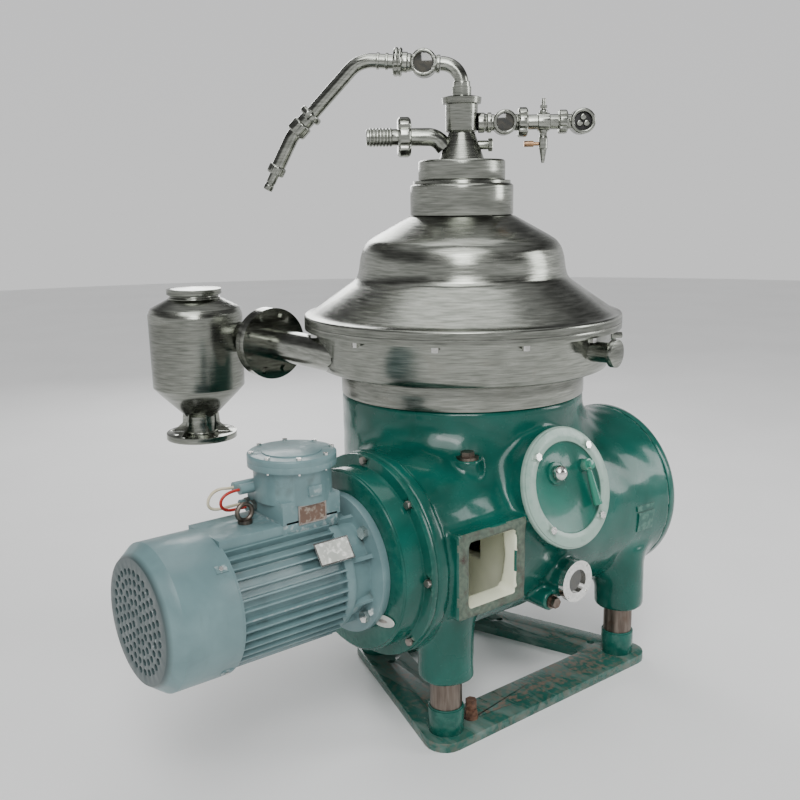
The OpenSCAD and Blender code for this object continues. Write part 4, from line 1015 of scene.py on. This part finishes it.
def make_cyclone_gussets():
    shape = Shape()
    base = shift(CYCLONE_X, CYCLONE_Y, 0)
    for k in range(6):
        turn = base @ spin_z(20 + 60 * k) @ spin_x(90)
        shape.prism([(44, 637), (92, 637), (60, 664), (56, 706), (44, 692)], -2.5, 2.5, turn, 0, 0.8)
    for z in (636.8, 1060):
        r = 50 if z < 700 else 78
        shape.turn([(r - 4, z - 1), (r + 3, z), (r + 2, z + 4), (r - 4, z + 6)], 1.5, 3, base, 0, 64)
    for k in range(4):
        bolt = base @ spin_z(90 * k) @ shift(90, 0, 0)
        shape.lathe(disc_profile(9, 636.2, 638.2, 0.5), bolt, 0, 24)
    shape.make("cyclone_ribs", ["stainless"])


def make_fan_cover_lugs():
    """Screwed lugs round the fan cover's open edge."""
    shape = Shape()
    for angle in (45, 135, 225, 315):
        turn = shift(-940, SHAFT_Y, SHAFT_Z) @ spin_x(angle) @ shift(0, 0, 165.5)
        shape.prism([(-16, -9), (12, -9), (12, 9), (-16, 9)], -1.5, 2.5, turn, 0, 1.2)
        shape.hexagon(10, 2.5, 6.5, turn @ shift(-4, 0, 0), 1)
    shape.make("fan_cover_lugs", ["motor_grey", "bright_steel"])


def make_glands():
    """Cable gland nuts on the terminal box, over the stubs of the casting."""
    shape = Shape()
    for y, z, x, across in GLANDS:
        place = shift(x, y, z) @ spin_y(-90)
        shape.hexagon(across, 2, 14, place)
        shape.turn([(4.5, 14), (across * 0.42, 14), (across * 0.40, 24), (4.5, 27)], 1.5, 3, place, 0, 32)
    shape.make("cable_glands", ["bare_steel"])


def make_hood_gasket():
    """The gasket line under the hood's flange."""
    shape = Shape()
    shape.lathe([(430, 1018), (443.2, 1018), (443.2, 1023), (430, 1023)], sides=192)
    shape.make("hood_gasket", ["rubber"])


def shared_details():
    make_plates()
    make_flange_tag()
    make_box_foot()
    make_cyclone_gussets()
    make_fan_cover_lugs()
    make_glands()
    make_hood_gasket()


# ---------------------------------------------------------------- carried-over CAD nodes


def finish_cad_nodes():
    for name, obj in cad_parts.items():
        if obj.hide_render:
            continue
        slot = SLOT_OF.get(name)
        if slot is None:
            raise ValueError(f"no finish for {name}")
        obj.data.materials.clear()
        obj.data.materials.append(MATERIALS[LOOK_OF.get(name, slot)])
        weld_and_shade(obj, 38.0, BEVEL_MM.get(name, 0.0) * MM)


# ---------------------------------------------------------------- stage and light


def make_floor():
    side, reach = 64, 14.0
    turns = [2 * math.pi * k / side for k in range(side)]
    points = [(reach * math.cos(a), reach * math.sin(a), 0) for a in turns]
    mesh = bpy.data.meshes.new("floor")
    mesh.from_pydata(points, [], [list(range(side))])
    n = Nodes("floor")
    colour = n.blend(n.spread(n.noise(1.2, 4.0), 0.3, 0.7), (0.88, 0.88, 0.875), (0.92, 0.92, 0.915))
    n.done(colour, n.spread(n.noise(3.0, 4.0), 0.3, 0.7, 0.55, 0.7))
    mesh.materials.append(n.material)
    floor = bpy.data.objects.new("floor", mesh)
    bpy.context.scene.collection.objects.link(floor)


def area_light(name, place, target, size, power, size_y=None):
    data = bpy.data.lights.new(name, "AREA")
    data.energy = power
    data.shape = "RECTANGLE"
    data.size, data.size_y = size, size_y or size
    light = bpy.data.objects.new(name, data)
    light.location = place
    light.rotation_euler = (Vector(target) - Vector(place)).to_track_quat("-Z", "Y").to_euler()
    bpy.context.scene.collection.objects.link(light)


def make_world():
    world = bpy.data.worlds.new("studio")
    bpy.context.scene.world = world
    world.use_nodes = True
    tree = world.node_tree
    place = tree.nodes.new("ShaderNodeTexCoord")
    split = tree.nodes.new("ShaderNodeSeparateXYZ")
    ramp = tree.nodes.new("ShaderNodeValToRGB")
    tree.links.new(place.outputs["Generated"], split.inputs[0])
    tree.links.new(split.outputs["Z"], ramp.inputs["Fac"])
    tree.links.new(ramp.outputs["Color"], tree.nodes["Background"].inputs["Color"])
    ramp.color_ramp.elements[0].position, ramp.color_ramp.elements[0].color = 0.0, (0.98, 0.98, 0.98, 1)
    ramp.color_ramp.elements[1].position, ramp.color_ramp.elements[1].color = 1.0, (0.42, 0.43, 0.44, 1)
    for position, grey in ((0.20, 0.95), (0.34, 0.22), (0.52, 0.10), (0.66, 0.20), (0.80, 0.62)):
        ramp.color_ramp.elements.new(position).color = (grey, grey, grey * 1.01, 1)
    tree.nodes["Background"].inputs["Strength"].default_value = 0.85


def soft_sun(place, target, strength, spread_deg):
    data = bpy.data.lights.new("soft_sun", "SUN")
    data.energy = strength
    data.angle = math.radians(spread_deg)
    light = bpy.data.objects.new("soft_sun", data)
    light.rotation_euler = (Vector(target) - Vector(place)).to_track_quat("-Z", "Y").to_euler()
    bpy.context.scene.collection.objects.link(light)


def make_lights():
    soft_sun((-2.6, -3.0, 5.0), (0.1, -0.2, 0.0), 1.5, 40)
    area_light("key", (-2.6, -3.6, 3.6), (0.1, -0.2, 0.8), 1.6, 95, 2.4)
    area_light("fill", (3.6, -3.0, 2.2), (0.2, -0.1, 0.7), 1.4, 60, 2.2)
    area_light("top", (0.4, 0.2, 4.4), (0.2, 0.0, 1.0), 2.6, 30, 2.0)
    area_light("rear", (1.8, 3.6, 2.6), (0.2, 0.2, 0.9), 1.2, 60, 2.4)


# ---------------------------------------------------------------- the whole model


make_camera()
add_paints()
add_metals()
add_moulded()
make_lead("red_lead_run", RED_ROUTE, "red_lead", "red_sleeve")
make_lead("cream_lead_run", CREAM_ROUTE, "cream_lead", "cream_sleeve")
make_housing()
make_hood()
make_sight_glasses()
make_feed_pipe()
make_light_outlet()
make_heavy_outlet()
shared_details()
finish_cad_nodes()
make_floor()
make_world()
make_lights()
